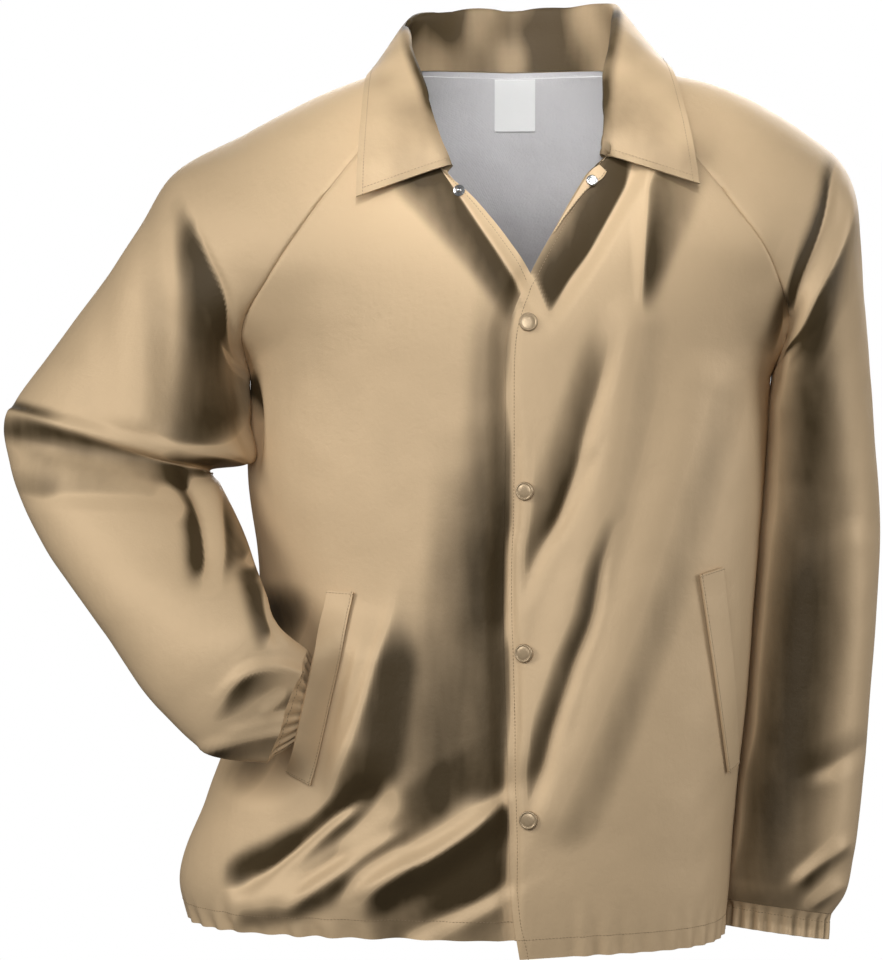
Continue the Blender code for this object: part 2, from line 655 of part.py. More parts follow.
def add_object(name, mesh):
    """An object of the part, from a mesh without loose points."""
    tidy = bmesh.new()
    tidy.from_mesh(mesh)
    bmesh.ops.delete(tidy, geom=[v for v in tidy.verts if not v.link_faces], context="VERTS")
    bmesh.ops.triangulate(tidy, faces=tidy.faces[:], quad_method="SHORT_EDGE")
    tidy.to_mesh(mesh)
    tidy.free()
    return bpy.data.objects.new(name, mesh)


def panel_solids(skins, normals, creased):
    """The two fronts, the back and the sleeves, as walls."""
    made, walls = {}, {}
    for name in skins:
        outer = part_from_seams(name, skins[name], normals[name], creased[name])
        walls[name] = (outer, outer - SHELL_WALL * normals[name])
    for name in ("front_right", "front_left", "back"):
        layers = [list(walls[name + "/hem"][i][:-1]) + list(walls[name][i]) for i in range(2)]
        made[name] = solid(name, *layers)
    for side in (RIGHT, LEFT):
        name = "sleeve_" + side
        made[name] = solid(name, list(walls[name][0]), list(walls[name][1]), len(ARM_STATIONS) + 1)
    return made, walls


def cuff_solid(side, wall):
    """An elastic cuff: a ring with even gathers, its upper edge set along the sleeve's end."""
    table = CUFF_RINGS[side]
    half = CUFF_GATHERS * CUFF_POINTS_PER_GATHER // 2
    grid = np.array([ring(table, t, half) for t in CUFF_STATIONS])
    normals = grid_normals(grid)
    ends = unit(normals[:, 0] + normals[:, -1])
    normals[:, 0], normals[:, -1] = ends, ends
    waves = np.sin(np.arange(2 * half + 1) * 2 * math.pi / CUFF_POINTS_PER_GATHER)
    heights = np.array([along(table, "gather", t) for t in CUFF_STATIONS])
    outer = grid + normals * (heights[:, None] * waves)[..., None]
    inner = outer - SHELL_WALL * normals
    axis = unit(grid[0].mean(axis=0) - wall[0][0].mean(axis=0))
    shares = np.linspace(0.0, 1.0, 2 * half + 1)
    marks = np.linspace(0.0, 1.0, wall[0].shape[1])
    edge = [
        np.array([np.interp(shares, marks, layer[0][:, i]) for i in range(3)]).T + axis * SEAM_GAP * 1.2
        for layer in wall
    ]
    return solid("cuff_" + side, list(outer) + [edge[0]], list(inner) + [edge[1]], len(CUFF_STATIONS) + 1)


def surface(things):
    """A search tree over the faces of objects."""
    points, faces = [], []
    for thing in things:
        base = len(points)
        points += [v.co.copy() for v in thing.data.vertices]
        faces += [tuple(base + i for i in face.vertices) for face in thing.data.polygons]
    return BVHTree.FromPolygons(points, faces)


def onto(tree, x, z, start_y, direction=1.0):
    """Where the line in depth at x and z first meets a surface: the point and its normal towards the start."""
    hit, normal, _, _ = tree.ray_cast(Vector((x, start_y, z)), Vector((0.0, direction, 0.0)))
    if hit is None:
        return None, None
    if normal.y * direction > 0:
        normal = -normal
    return np.array(hit), np.array(normal)


def neck_line(walls):
    """The neck seam from the right front end to the left: its points, the panel's wall and upward directions."""
    points, across = [], []
    for name in ("front_right", "sleeve_right", "back", "sleeve_left", "front_left"):
        outer, inner = walls[name]
        skip = 0 if name == "front_right" else 1
        points.append(outer[-1][::-1][skip:])
        across.append(unit(outer[-1] - inner[-1])[::-1][skip:])
    points, across = np.vstack(points), np.vstack(across)
    upward = unit(np.cross(np.gradient(points, axis=0), across))
    return points, across, upward


def collar_solid(walls, obstacles):
    """The collar: a stand up from the neck seam, a roll line, and the fall that lies on the shoulders."""
    line, across, upward = neck_line(walls)
    steps = np.concatenate([[0.0], np.cumsum(np.linalg.norm(np.diff(line, axis=0), axis=1))])
    middle = int(np.argmin(np.abs(line[:, 0]) + (line[:, 1] < 0)))

    def at_seam(values, distance):
        return np.array([np.interp(distance, steps, values[:, i]) for i in range(3)])

    sections = []
    for side, start in ((RIGHT, 0.0), (LEFT, steps[-1])):
        half = []
        for s in np.linspace(0.0, 1.0, COLLAR_COLUMNS + 1):
            distance = start + (steps[middle] - start) * s
            foot = at_seam(line, distance) + unit(at_seam(upward, distance)) * COLLAR_SEAM
            base = unit(at_seam(across, distance)) * COLLAR_WALL
            half.append((foot, base, place(COLLAR[side], s, "roll_"), place(COLLAR[side], s, "edge_")))
        sections += half if side == RIGHT else half[::-1][1:]
    rows = []
    for foot, base, roll, edge in sections:
        away = unit(edge - roll) * np.array([1.0, 1.0, 0.35])
        rise = np.linalg.norm(roll - foot)
        stand = bezier(foot, 0.45 * (roll - foot), roll, -away * min(0.25 * rise, ROLL_REACH), STAND_ROWS)
        fall = bezier(roll, away * ROLL_REACH, edge, 0.35 * (roll - edge), FALL_ROWS)
        rows.append(np.vstack([stand, fall[1:]]))
    hidden = np.array(rows).transpose(1, 0, 2)
    for r in range(STAND_ROWS + 1, hidden.shape[0]):
        for c in range(hidden.shape[1]):
            hidden[r, c] = clear_of(obstacles, hidden[r, c], COLLAR_CLEAR)
    shown = hidden + COLLAR_WALL * grid_normals(hidden)
    shown[0] = hidden[0] - np.array([base for _, base, _, _ in sections])
    return solid("collar", list(shown), list(hidden))


def clear_of(tree, point, distance):
    """The point, moved out along the nearest face's normal until it is that far outside."""
    for _ in range(4):
        hit, normal, _, _ = tree.find_nearest(Vector(point))
        gap = (Vector(point) - hit).dot(normal)
        if gap >= distance:
            break
        point = np.array(Vector(point) + normal * (distance - gap))
    return point


def welt_solid(side, tree):
    """A pocket welt: stitched along one side and both ends, free along the other side."""
    table, rows = WELT[side], []
    for r in WELT_STATIONS[::-1]:
        held_y = onto(tree, along(table, "held_x", r), along(table, "held_z", r), -0.5)[0][1]
        row = []
        for share in WELT_SHARES:
            x = along(table, "held_x", r) * (1 - share) + along(table, "free_x", r) * share
            z = along(table, "held_z", r) * (1 - share) + along(table, "free_z", r) * share
            point, normal = onto(tree, x, z, -0.5)
            lifted = min(point[1], held_y - WELT_STAND * share)
            point[1] += (lifted - point[1]) * along(table, "lift", r)
            row.append(point + normal * WELT_CLEAR)
        rows.append(row[::-1] if side == RIGHT else row)
    grid = np.array(rows)
    return solid("welt_" + side, list(grid + WELT_WALL * grid_normals(grid)), list(grid))


def facing_solid(tree):
    """The turned-out facing on the wearer's left front, beside the neck opening."""
    rows = []
    for r in FACING_STATIONS:
        row = []
        for share in WELT_SHARES:
            x = along(FACING, "fold_x", r) * (1 - share) + along(FACING, "free_x", r) * share
            z = along(FACING, "fold_z", r) * (1 - share) + along(FACING, "free_z", r) * share
            point, normal = onto(tree, x, z, -0.5)
            row.append(point + normal * 2 * LAY_GAP)
        rows.append(row)
    grid = np.array(rows)
    normals = grid_normals(grid)
    return solid("facing_left", list(grid + SHELL_WALL * normals), list(grid))


def lining_solid():
    """The lining of the upper back, on the inner side of the back panel."""
    grid = np.array([back_row(v, BACK_COLUMNS) for v in LINING_STATIONS])
    own = grid_normals(grid)
    kept = grid + own * fold_heights("body", grid, own)[..., None]
    facing = grid_normals(kept)
    depth = SHELL_WALL + LAY_GAP
    outer = (kept - depth * facing)[:, 1:-1]
    inner = (kept - (depth + LINING_WALL) * facing)[:, 1:-1]
    return solid("lining_back", list(outer), list(inner))


def label_solid(tree):
    """A blank label on the lining at the back of the neck."""
    left, right, top, bottom = LABEL_BOX
    rows = []
    for z in np.linspace(bottom, top, 6):
        row = []
        for x in np.linspace(left, right, 4):
            point, normal = onto(tree, x, z, 0.0)
            row.append(point + normal * LAY_GAP)
        rows.append(row)
    grid = np.array(rows)
    normals = grid_normals(grid)
    return solid("label", list(grid + LABEL_WALL * normals), list(grid))


def turned(name, radii_heights, place_on):
    """A solid of revolution from (radius, height) pairs, closed at both ends on its axis."""
    point, normal = place_on
    mesh = bmesh.new()
    rings = []
    for radius, height in radii_heights:
        if radius == 0:
            rings.append([mesh.verts.new((0.0, 0.0, height))])
            continue
        angles = [2 * math.pi * i / SNAP_SEGMENTS for i in range(SNAP_SEGMENTS)]
        rings.append([mesh.verts.new((radius * math.cos(a), radius * math.sin(a), height)) for a in angles])
    for low, high in zip(rings, rings[1:]):
        for i in range(SNAP_SEGMENTS):
            j = (i + 1) % SNAP_SEGMENTS
            corners = [low[i % len(low)], low[j % len(low)], high[j % len(high)], high[i % len(high)]]
            mesh.faces.new(list(dict.fromkeys(corners)))
    bmesh.ops.recalc_face_normals(mesh, faces=mesh.faces[:])
    stand = Vector(normal).to_track_quat("Z", "X").to_matrix().to_4x4()
    mesh.transform(Matrix.Translation(Vector(point)) @ stand)
    data = bpy.data.meshes.new(name)
    mesh.to_mesh(data)
    mesh.free()
    return add_object(name, data)


def seat(tree, x, z, radius):
    """Where a disc of this radius rests on a surface seen from the front: its centre and its axis."""
    centre, _ = onto(tree, x, z, -0.5)
    angles = [2 * math.pi * i / 12 for i in range(12)]
    spots = [onto(tree, x + radius * math.cos(a), z + radius * math.sin(a), -0.5)[0] for a in angles]
    spots = np.array([spot for spot in spots if spot is not None])
    axis = unit(np.linalg.svd(spots - spots.mean(axis=0))[2][2])
    axis = axis if axis[1] < 0 else -axis
    rise = max(0.0, float(((spots - centre) @ axis).max()))
    return centre + axis * (rise + SEAM_GAP + 0.0002), axis


def snap_solids(left_tree, right_tree, facing_tree):
    """Four closed caps down the front, and the open top pair: a socket on the facing, a stud on the right."""
    made = {}
    cap = (
        (0.0, 0.0),
        (SNAP_CAP_RADIUS - 0.0006, 0.0),
        (SNAP_CAP_RADIUS, SNAP_CAP_EDGE * 0.5),
        (SNAP_CAP_RADIUS * 0.96, SNAP_CAP_EDGE),
        (SNAP_CAP_RADIUS * 0.72, SNAP_CAP_HEIGHT * 0.82),
        (SNAP_CAP_RADIUS * 0.36, SNAP_CAP_HEIGHT),
        (0.0, SNAP_CAP_HEIGHT),
    )
    for number, z in enumerate(SNAP_HEIGHTS, 1):
        x = float(left_edge_x(z)) + SNAP_INSET
        name = "snap_cap_%d" % number
        made[name] = turned(name, cap, seat(left_tree, x, z, SNAP_CAP_RADIUS))
    ring_part = (
        (0.0, 0.0),
        (SNAP_PART_RADIUS, 0.0),
        (SNAP_PART_RADIUS, SNAP_PART_HEIGHT * 0.5),
        (SNAP_PART_RADIUS * 0.8, SNAP_PART_HEIGHT),
        (SNAP_PART_RECESS, SNAP_PART_HEIGHT),
        (SNAP_PART_RECESS, SNAP_PART_HEIGHT - SNAP_PART_DEPTH),
        (0.0, SNAP_PART_HEIGHT - SNAP_PART_DEPTH),
    )
    made["snap_socket"] = turned("snap_socket", ring_part, seat(facing_tree, *SOCKET_PLACE, SNAP_PART_RADIUS))
    post = (
        (0.0, 0.0),
        (SNAP_PART_RADIUS, 0.0),
        (SNAP_PART_RADIUS, SNAP_PART_HEIGHT * 0.3),
        (STUD_POST_RADIUS, SNAP_PART_HEIGHT * 0.5),
        (STUD_POST_RADIUS, SNAP_PART_HEIGHT * 1.3),
        (STUD_POST_RADIUS * 0.6, SNAP_PART_HEIGHT * 1.6),
        (0.0, SNAP_PART_HEIGHT * 1.6),
    )
    made["snap_stud"] = turned("snap_stud", post, seat(right_tree, *STUD_PLACE, SNAP_PART_RADIUS))
    return made


SHELL, LINING, LABEL, CAP, SILVER = "shell_cloth", "lining_cloth", "label_cloth", "cap_paint", "snap_metal"
FINISHES = {
    SHELL: ((0.57, 0.43, 0.27, 1.0), 0.42, 0.0),
    LINING: ((0.45, 0.44, 0.45, 1.0), 0.9, 0.0),
    LABEL: ((0.9, 0.9, 0.9, 1.0), 0.7, 0.0),
    CAP: ((0.42, 0.31, 0.19, 1.0), 0.35, 0.0),
    SILVER: ((0.75, 0.76, 0.77, 1.0), 0.25, 1.0),
}


def finish_for(name):
    if name.startswith("snap_cap"):
        return CAP
    if name.startswith("snap"):
        return SILVER
    return {"lining_back": LINING, "label": LABEL}.get(name, SHELL)


def give_material(thing):
    """A material of its own for every object."""
    color, roughness, metallic = FINISHES[finish_for(thing.name)]
    material = bpy.data.materials.new(finish_for(thing.name) + "_" + thing.name)
    material.use_nodes = True
    shader = material.node_tree.nodes["Principled BSDF"]
    shader.inputs["Base Color"].default_value = color
    shader.inputs["Roughness"].default_value = roughness
    shader.inputs["Metallic"].default_value = metallic
    thing.data.materials.append(material)


def main():
    for thing in list(bpy.data.objects):
        bpy.data.objects.remove(thing)
    jacket = bpy.data.collections.new("snap_front_jacket")
    bpy.context.scene.collection.children.link(jacket)
    skins, normals, creased = build_skins()
    made, walls = panel_solids(skins, normals, creased)
    left, right = surface([made["front_left"]]), surface([made["front_right"]])
    made["facing_left"] = facing_solid(left)
    names = ("front_right", "front_left", "back", "sleeve_right", "sleeve_left", "facing_left")
    made["collar"] = collar_solid(walls, surface([made[name] for name in names]))
    for side, tree in ((RIGHT, right), (LEFT, left)):
        made["cuff_" + side] = cuff_solid(side, walls["sleeve_" + side])
        made["welt_" + side] = welt_solid(side, tree)
    made["lining_back"] = lining_solid()
    made["label"] = label_solid(surface([made["lining_back"]]))
    made.update(snap_solids(left, right, surface([made["facing_left"]])))
    for thing in made.values():
        give_material(thing)
        jacket.objects.link(thing)


main()
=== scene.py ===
"""Looks of a hip-length snap-front raglan jacket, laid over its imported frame.

The cloth keeps the hollow form it has when worn: the right arm is bent to the pocket, the left arm hangs.
Metres, +Z up, the front faces -Y and the wearer's right is -X.
"""

import logging
import math
from dataclasses import dataclass
from enum import Enum

import bmesh
import bpy
import numpy as np
from bpy.types import Light, Material, Mesh, Node, NodeInputs, NodeSocket, NodeTree, Object
from mathutils import Matrix, Vector
from mathutils.bvhtree import BVHTree


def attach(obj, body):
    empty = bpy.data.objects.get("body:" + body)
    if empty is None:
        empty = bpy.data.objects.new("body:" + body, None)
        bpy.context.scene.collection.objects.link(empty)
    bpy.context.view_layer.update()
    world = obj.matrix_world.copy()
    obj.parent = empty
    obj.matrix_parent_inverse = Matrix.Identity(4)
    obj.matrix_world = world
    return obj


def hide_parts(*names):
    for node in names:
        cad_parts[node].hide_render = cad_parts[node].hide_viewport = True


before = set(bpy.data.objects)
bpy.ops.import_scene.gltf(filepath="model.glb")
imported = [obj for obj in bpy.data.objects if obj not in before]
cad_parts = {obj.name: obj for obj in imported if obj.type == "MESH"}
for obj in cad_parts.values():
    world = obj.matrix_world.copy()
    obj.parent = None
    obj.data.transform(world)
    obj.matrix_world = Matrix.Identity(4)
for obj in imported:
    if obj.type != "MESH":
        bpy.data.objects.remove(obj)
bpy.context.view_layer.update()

LOG = logging.getLogger("jacket")
Array = np.ndarray
Pair = tuple[float, float]
Triple = tuple[float, float, float]
FORWARD = np.array([0.0, -1.0, 0.0])
# A place well in front of the jacket, where lines towards it start.
IN_FRONT = -0.5
# Edges sharper than these angles, in degrees, are shaded as edges.
CLOTH_SHARP = 70
METAL_SHARP = 50


class Side(Enum):
    """The wearer's two sides."""

    RIGHT = "right"
    LEFT = "left"


class Cloth(Enum):
    """Which panels a fold runs over."""

    ALL = "all"
    BODY = "body"
    ARM = "arm"


class Slot(Enum):
    """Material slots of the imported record."""

    SHELL = "shell_cloth"
    LINING = "lining_cloth"
    LABEL = "label_cloth"
    CAP = "cap_paint"
    METAL = "snap_metal"


@dataclass(frozen=True)
class Table:
    """A short table of sections.

    Attributes:
        columns: names of the columns, the station first.
        rows: one row for each section.
    """

    columns: str
    rows: tuple[tuple[float, ...], ...]

    @classmethod
    def of(cls, columns: str, *rows: tuple[float, ...]) -> "Table":
        """A table from the names of its columns and its rows."""
        return cls(columns, rows)

    def at(self, name: str, station: Array | float) -> Array:
        """Values of a column: a cubic through the rows, with slopes from their neighbours.

        Args:
            name: the column.
            station: where along the first column, one value or many.

        Returns:
            The column's values there.
        """
        data = np.array(self.rows, float)
        knots, values = data[:, 0], data[:, self.columns.split().index(name)]
        slopes = np.gradient(values, knots)
        station = np.asarray(station, float)
        i = np.clip(np.searchsorted(knots, station) - 1, 0, len(knots) - 2)
        step = knots[i + 1] - knots[i]
        s = (station - knots[i]) / step
        return (
            (2 * s**3 - 3 * s**2 + 1) * values[i]
            + (s**3 - 2 * s**2 + s) * step * slopes[i]
            + (3 * s**2 - 2 * s**3) * values[i + 1]
            + (s**3 - s**2) * step * slopes[i + 1]
        )

    def points(self, station: Array | float, prefix: str = "") -> Array:
        """Points that the table gives at stations.

        Args:
            station: one station or many.
            prefix: start of the three columns' names.

        Returns:
            Points, with the axes last.
        """
        return np.stack([self.at(prefix + axis, station) for axis in "xyz"], axis=-1)


@dataclass(frozen=True)
class HalfPattern:
    """Seam lines and sections of one side of the jacket.

    Attributes:
        side: the wearer's side.
        side_seam: from the hem (v = 0) to the underarm (v = 1).
        front_edge: from the hem past the underarm level to the collar's end (v = 2).
        front_raglan: from the underarm (v = 1) to the neck (v = 2), on the front.
        back_raglan: the same on the back.
        shoulder: the sleeve's top line, with how far its curve reaches either way in depth.
        arm: sleeve rings from the underarm (t = 0) to the cuff seam (t = 1).
        cuff: cuff rings from the sleeve (t = 0) to the open end (t = 1).
        collar: collar sections from the front end (s = 0) to the centre back (s = 1).
        welt: pocket welt sections from its top (r = 0) to its bottom (r = 1).
    """

    side: Side
    side_seam: Table
    front_edge: Table
    front_raglan: Table
    back_raglan: Table
    shoulder: Table
    arm: Table
    cuff: Table
    collar: Table
    welt: Table


LINE = "v x y z"
TOP_LINE = "v x y z front back"
RINGS = "t outer_x outer_y outer_z inner_x inner_y inner_z front back"
CUFF_RINGS = RINGS + " gather"
COLLAR_SECTIONS = "s roll_x roll_y roll_z edge_x edge_y edge_z"
WELT_SECTIONS = "r held_x held_z free_x free_z lift"

RIGHT_HALF = HalfPattern(
    side=Side.RIGHT,
    side_seam=Table.of(
        LINE,
        (0.00, -0.284, 0.000, -0.744), (0.06, -0.292, 0.000, -0.716),
        (0.22, -0.2695, 0.000, -0.640), (0.40, -0.239, 0.000, -0.554),
        (0.62, -0.2225, 0.000, -0.450), (0.82, -0.2325, 0.000, -0.355),
        (1.00, -0.230, 0.004, -0.270),
    ),
    front_edge=Table.of(
        LINE,
        (0.00, 0.037, -0.121, -0.766), (0.06, 0.031, -0.129, -0.741),
        (0.22, 0.028, -0.141, -0.668), (0.40, 0.0255, -0.146, -0.577),
        (0.62, 0.023, -0.147, -0.466), (0.82, 0.0255, -0.145, -0.366),
        (1.00, 0.026, -0.141, -0.275), (1.25, 0.026, -0.137, -0.221),
        (1.45, 0.018, -0.132, -0.185), (1.65, -0.004, -0.125, -0.151),
        (1.85, -0.034, -0.115, -0.113), (2.00, -0.0555, -0.106, -0.090),
    ),
    front_raglan=Table.of(
        LINE,
        (1.00, -0.230, 0.004, -0.270), (1.15, -0.237, -0.055, -0.232),
        (1.35, -0.214, -0.094, -0.184), (1.60, -0.172, -0.098, -0.121),
        (1.80, -0.137, -0.085, -0.076), (2.00, -0.103, -0.064, -0.036),
    ),
    back_raglan=Table.of(
        LINE,
        (1.00, -0.230, 0.004, -0.270), (1.15, -0.236, 0.060, -0.228),
        (1.35, -0.208, 0.102, -0.172), (1.60, -0.162, 0.112, -0.105),
        (1.80, -0.122, 0.097, -0.050), (2.00, -0.082, 0.062, 0.002),
    ),
    shoulder=Table.of(
        TOP_LINE,
        (1.00, -0.354, 0.005, -0.179, 0.104, 0.104),
        (1.15, -0.328, 0.007, -0.142, 0.088, 0.088),
        (1.35, -0.3045, 0.010, -0.0950, 0.066, 0.066),
        (1.60, -0.232, 0.012, -0.055, 0.058, 0.058),
        (1.80, -0.165, 0.010, -0.0205, 0.048, 0.048),
        (2.00, -0.098, 0.000, 0.004, 0.030, 0.030),
    ),
    arm=Table.of(
        RINGS,
        (0.00, -0.354, 0.005, -0.179, -0.2300, 0.004, -0.270, 0.078, 0.078),
        (0.12, -0.396, 0.000, -0.236, -0.2330, -0.020, -0.308, 0.074, 0.074),
        (0.25, -0.437, -0.006, -0.292, -0.2330, -0.036, -0.347, 0.068, 0.070),
        (0.32, -0.447, -0.012, -0.313, -0.2650, -0.034, -0.352, 0.056, 0.062),
        (0.40, -0.441, -0.024, -0.348, -0.2585, -0.044, -0.366, 0.062, 0.062),
        (0.55, -0.413, -0.058, -0.414, -0.2320, -0.082, -0.418, 0.060, 0.056),
        (0.72, -0.3565, -0.104, -0.493, -0.2150, -0.130, -0.458, 0.048, 0.040),
        (0.85, -0.306, -0.132, -0.562, -0.2070, -0.146, -0.482, 0.040, 0.030),
        (0.94, -0.257, -0.140, -0.602, -0.1950, -0.144, -0.496, 0.030, 0.022),
        (1.00, -0.214, -0.131, -0.607, -0.1790, -0.131, -0.508, 0.020, 0.017),
    ),
    cuff=Table.of(
        CUFF_RINGS,
        (0.00, -0.2085, -0.1275, -0.6010, -0.1775, -0.1285, -0.5110, 0.017, 0.014, 0.0008),
        (0.50, -0.1985, -0.1215, -0.5950, -0.1745, -0.1220, -0.5190, 0.0120, 0.0110, 0.0010),
        (1.00, -0.1880, -0.1165, -0.5880, -0.1705, -0.1175, -0.5265, 0.0090, 0.0090, 0.0008),
    ),
    collar=Table.of(
        COLLAR_SECTIONS,
        (0.00, -0.0530, -0.1100, -0.0860, -0.1365, -0.1180, -0.1144),
        (0.14, -0.0635, -0.0990, -0.0600, -0.1355, -0.1060, -0.0820),
        (0.27, -0.0745, -0.0700, -0.0260, -0.1330, -0.0880, -0.0500),
        (0.50, -0.0920, -0.0120, 0.0230, -0.1260, -0.0200, -0.0060),
        (0.73, -0.0830, 0.0540, 0.0490, -0.1100, 0.0860, -0.0080),
        (0.86, -0.0480, 0.0770, 0.0540, -0.0600, 0.1010, -0.0110),
        (1.00, 0.0000, 0.0830, 0.0545, 0.0000, 0.1050, -0.0120),
    ),
    welt=Table.of(
        WELT_SECTIONS,
        (0.00, -0.1375, -0.4590, -0.1600, -0.4580, 0.0),
        (0.20, -0.1450, -0.4926, -0.1670, -0.4896, 0.5),
        (0.35, -0.1507, -0.5178, -0.1722, -0.5133, 1.0),
        (0.55, -0.1582, -0.5514, -0.1792, -0.5449, 1.0),
        (0.75, -0.1657, -0.5850, -0.1862, -0.5765, 1.0),
        (0.90, -0.1713, -0.6102, -0.1915, -0.6002, 0.85),
        (1.00, -0.1750, -0.6270, -0.1950, -0.6160, 0.0),
    ),
)

LEFT_HALF = HalfPattern(
    side=Side.LEFT,
    side_seam=Table.of(
        LINE,
        (0.00, 0.187, 0.000, -0.756), (0.06, 0.190, 0.000, -0.723),
        (0.22, 0.196, 0.000, -0.646), (0.40, 0.206, 0.000, -0.559),
        (0.62, 0.214, 0.000, -0.453), (0.82, 0.222, 0.000, -0.357),
        (1.00, 0.228, 0.004, -0.270),
    ),
    front_edge=Table.of(
        LINE,
        (0.00, 0.006, -0.121, -0.779), (0.06, 0.001, -0.129, -0.748),
        (0.22, -0.003, -0.141, -0.668), (0.40, -0.0055, -0.146, -0.577),
        (0.62, -0.008, -0.147, -0.466), (0.82, -0.0065, -0.145, -0.366),
        (1.00, -0.006, -0.141, -0.275), (1.20, -0.0045, -0.138, -0.226),
        (1.40, 0.0165, -0.132, -0.178), (1.60, 0.037, -0.125, -0.141),
        (1.82, 0.0575, -0.115, -0.105), (1.92, 0.0660, -0.110, -0.092),
        (2.00, 0.0790, -0.106, -0.0805),
    ),
    front_raglan=Table.of(
        LINE,
        (1.00, 0.228, 0.004, -0.270), (1.15, 0.242, -0.055, -0.228),
        (1.35, 0.228, -0.093, -0.172), (1.60, 0.190, -0.098, -0.115),
        (1.80, 0.157, -0.086, -0.075), (2.00, 0.112, -0.062, -0.034),
    ),
    back_raglan=Table.of(
        LINE,
        (1.00, 0.228, 0.004, -0.270), (1.15, 0.240, 0.060, -0.228),
        (1.35, 0.214, 0.102, -0.172), (1.60, 0.166, 0.112, -0.105),
        (1.80, 0.124, 0.097, -0.050), (2.00, 0.082, 0.062, 0.002),
    ),
    shoulder=Table.of(
        TOP_LINE,
        (1.00, 0.314, 0.030, -0.232, 0.104, 0.104),
        (1.15, 0.3085, 0.024, -0.182, 0.090, 0.090),
        (1.35, 0.304, 0.016, -0.105, 0.068, 0.068),
        (1.60, 0.258, 0.012, -0.0555, 0.060, 0.060),
        (1.80, 0.188, 0.010, -0.0165, 0.048, 0.048),
        (2.00, 0.098, 0.000, 0.004, 0.030, 0.030),
    ),
    arm=Table.of(
        RINGS,
        (0.00, 0.314, 0.030, -0.232, 0.2280, 0.004, -0.270, 0.078, 0.078),
        (0.12, 0.3185, 0.038, -0.300, 0.2250, 0.030, -0.318, 0.080, 0.080),
        (0.30, 0.3255, 0.048, -0.400, 0.2120, 0.058, -0.405, 0.078, 0.078),
        (0.45, 0.3220, 0.052, -0.480, 0.2065, 0.062, -0.482, 0.076, 0.076),
        (0.60, 0.3160, 0.052, -0.560, 0.1995, 0.062, -0.560, 0.073, 0.073),
        (0.75, 0.3090, 0.048, -0.640, 0.1910, 0.060, -0.635, 0.068, 0.068),
        (0.86, 0.3020, 0.042, -0.692, 0.1870, 0.054, -0.687, 0.062, 0.062),
        (0.95, 0.2930, 0.038, -0.728, 0.1860, 0.048, -0.717, 0.052, 0.052),
        (1.00, 0.2825, 0.036, -0.7435, 0.1880, 0.044, -0.728, 0.042, 0.042),
    ),
    cuff=Table.of(
        CUFF_RINGS,
        (0.00, 0.2800, 0.0360, -0.7495, 0.1870, 0.0430, -0.7345, 0.038, 0.038, 0.0014),
        (0.50, 0.2795, 0.0360, -0.7580, 0.1862, 0.0420, -0.7440, 0.035, 0.035, 0.0018),
        (1.00, 0.2790, 0.0360, -0.7660, 0.1855, 0.0420, -0.7530, 0.036, 0.036, 0.0016),
    ),
    collar=Table.of(
        COLLAR_SECTIONS,
        (0.00, 0.0780, -0.1100, -0.0770, 0.1630, -0.1180, -0.1030),
        (0.14, 0.0805, -0.0970, -0.0450, 0.1585, -0.1050, -0.0740),
        (0.27, 0.0825, -0.0680, -0.0100, 0.1530, -0.0860, -0.0480),
        (0.50, 0.0915, -0.0120, 0.0385, 0.1380, -0.0200, 0.0005),
        (0.73, 0.0835, 0.0520, 0.0590, 0.1190, 0.0830, 0.0000),
        (0.86, 0.0480, 0.0770, 0.0565, 0.0600, 0.1010, -0.0100),
        (1.00, 0.0000, 0.0830, 0.0545, 0.0000, 0.1050, -0.0120),
    ),
    welt=Table.of(
        WELT_SECTIONS,
        (0.00, 0.1620, -0.4435, 0.1820, -0.4370, 0.0),
        (0.50, 0.1750, -0.5303, 0.1910, -0.5230, 0.0),
        (1.00, 0.1870, -0.6170, 0.1963, -0.6090, 0.0),
    ),
)

CENTRE_BACK = Table.of(
    LINE,
    (0.00, -0.045, 0.112, -0.760), (0.06, -0.047, 0.120, -0.733),
    (0.22, -0.036, 0.124, -0.655), (0.40, -0.020, 0.122, -0.566),
    (0.62, -0.008, 0.123, -0.458), (0.82, -0.004, 0.130, -0.360),
    (1.00, 0.000, 0.136, -0.272), (1.25, 0.000, 0.137, -0.205),
    (1.50, 0.000, 0.131, -0.143), (1.75, 0.000, 0.114, -0.076),
    (2.00, 0.000, 0.080, 0.000),
)

HEM_GATHER_HEIGHTS = Table.of(
    "x height",
    (-0.300, 0.0016), (-0.240, 0.0034),
    (-0.130, 0.0032), (-0.080, 0.0016),
    (0.070, 0.0020), (0.130, 0.0014),
    (0.200, 0.0014),
)

FACING = Table.of(
    "r fold_x fold_z free_x free_z",
    (0.00, 0.0345, -0.1465, 0.0370, -0.1445), (0.30, 0.0410, -0.1360, 0.0470, -0.1298),
    (0.60, 0.0542, -0.1140, 0.0650, -0.1078), (0.85, 0.0690, -0.0915, 0.0785, -0.0975),
    (1.00, 0.0755, -0.0865, 0.0815, -0.0925),
)


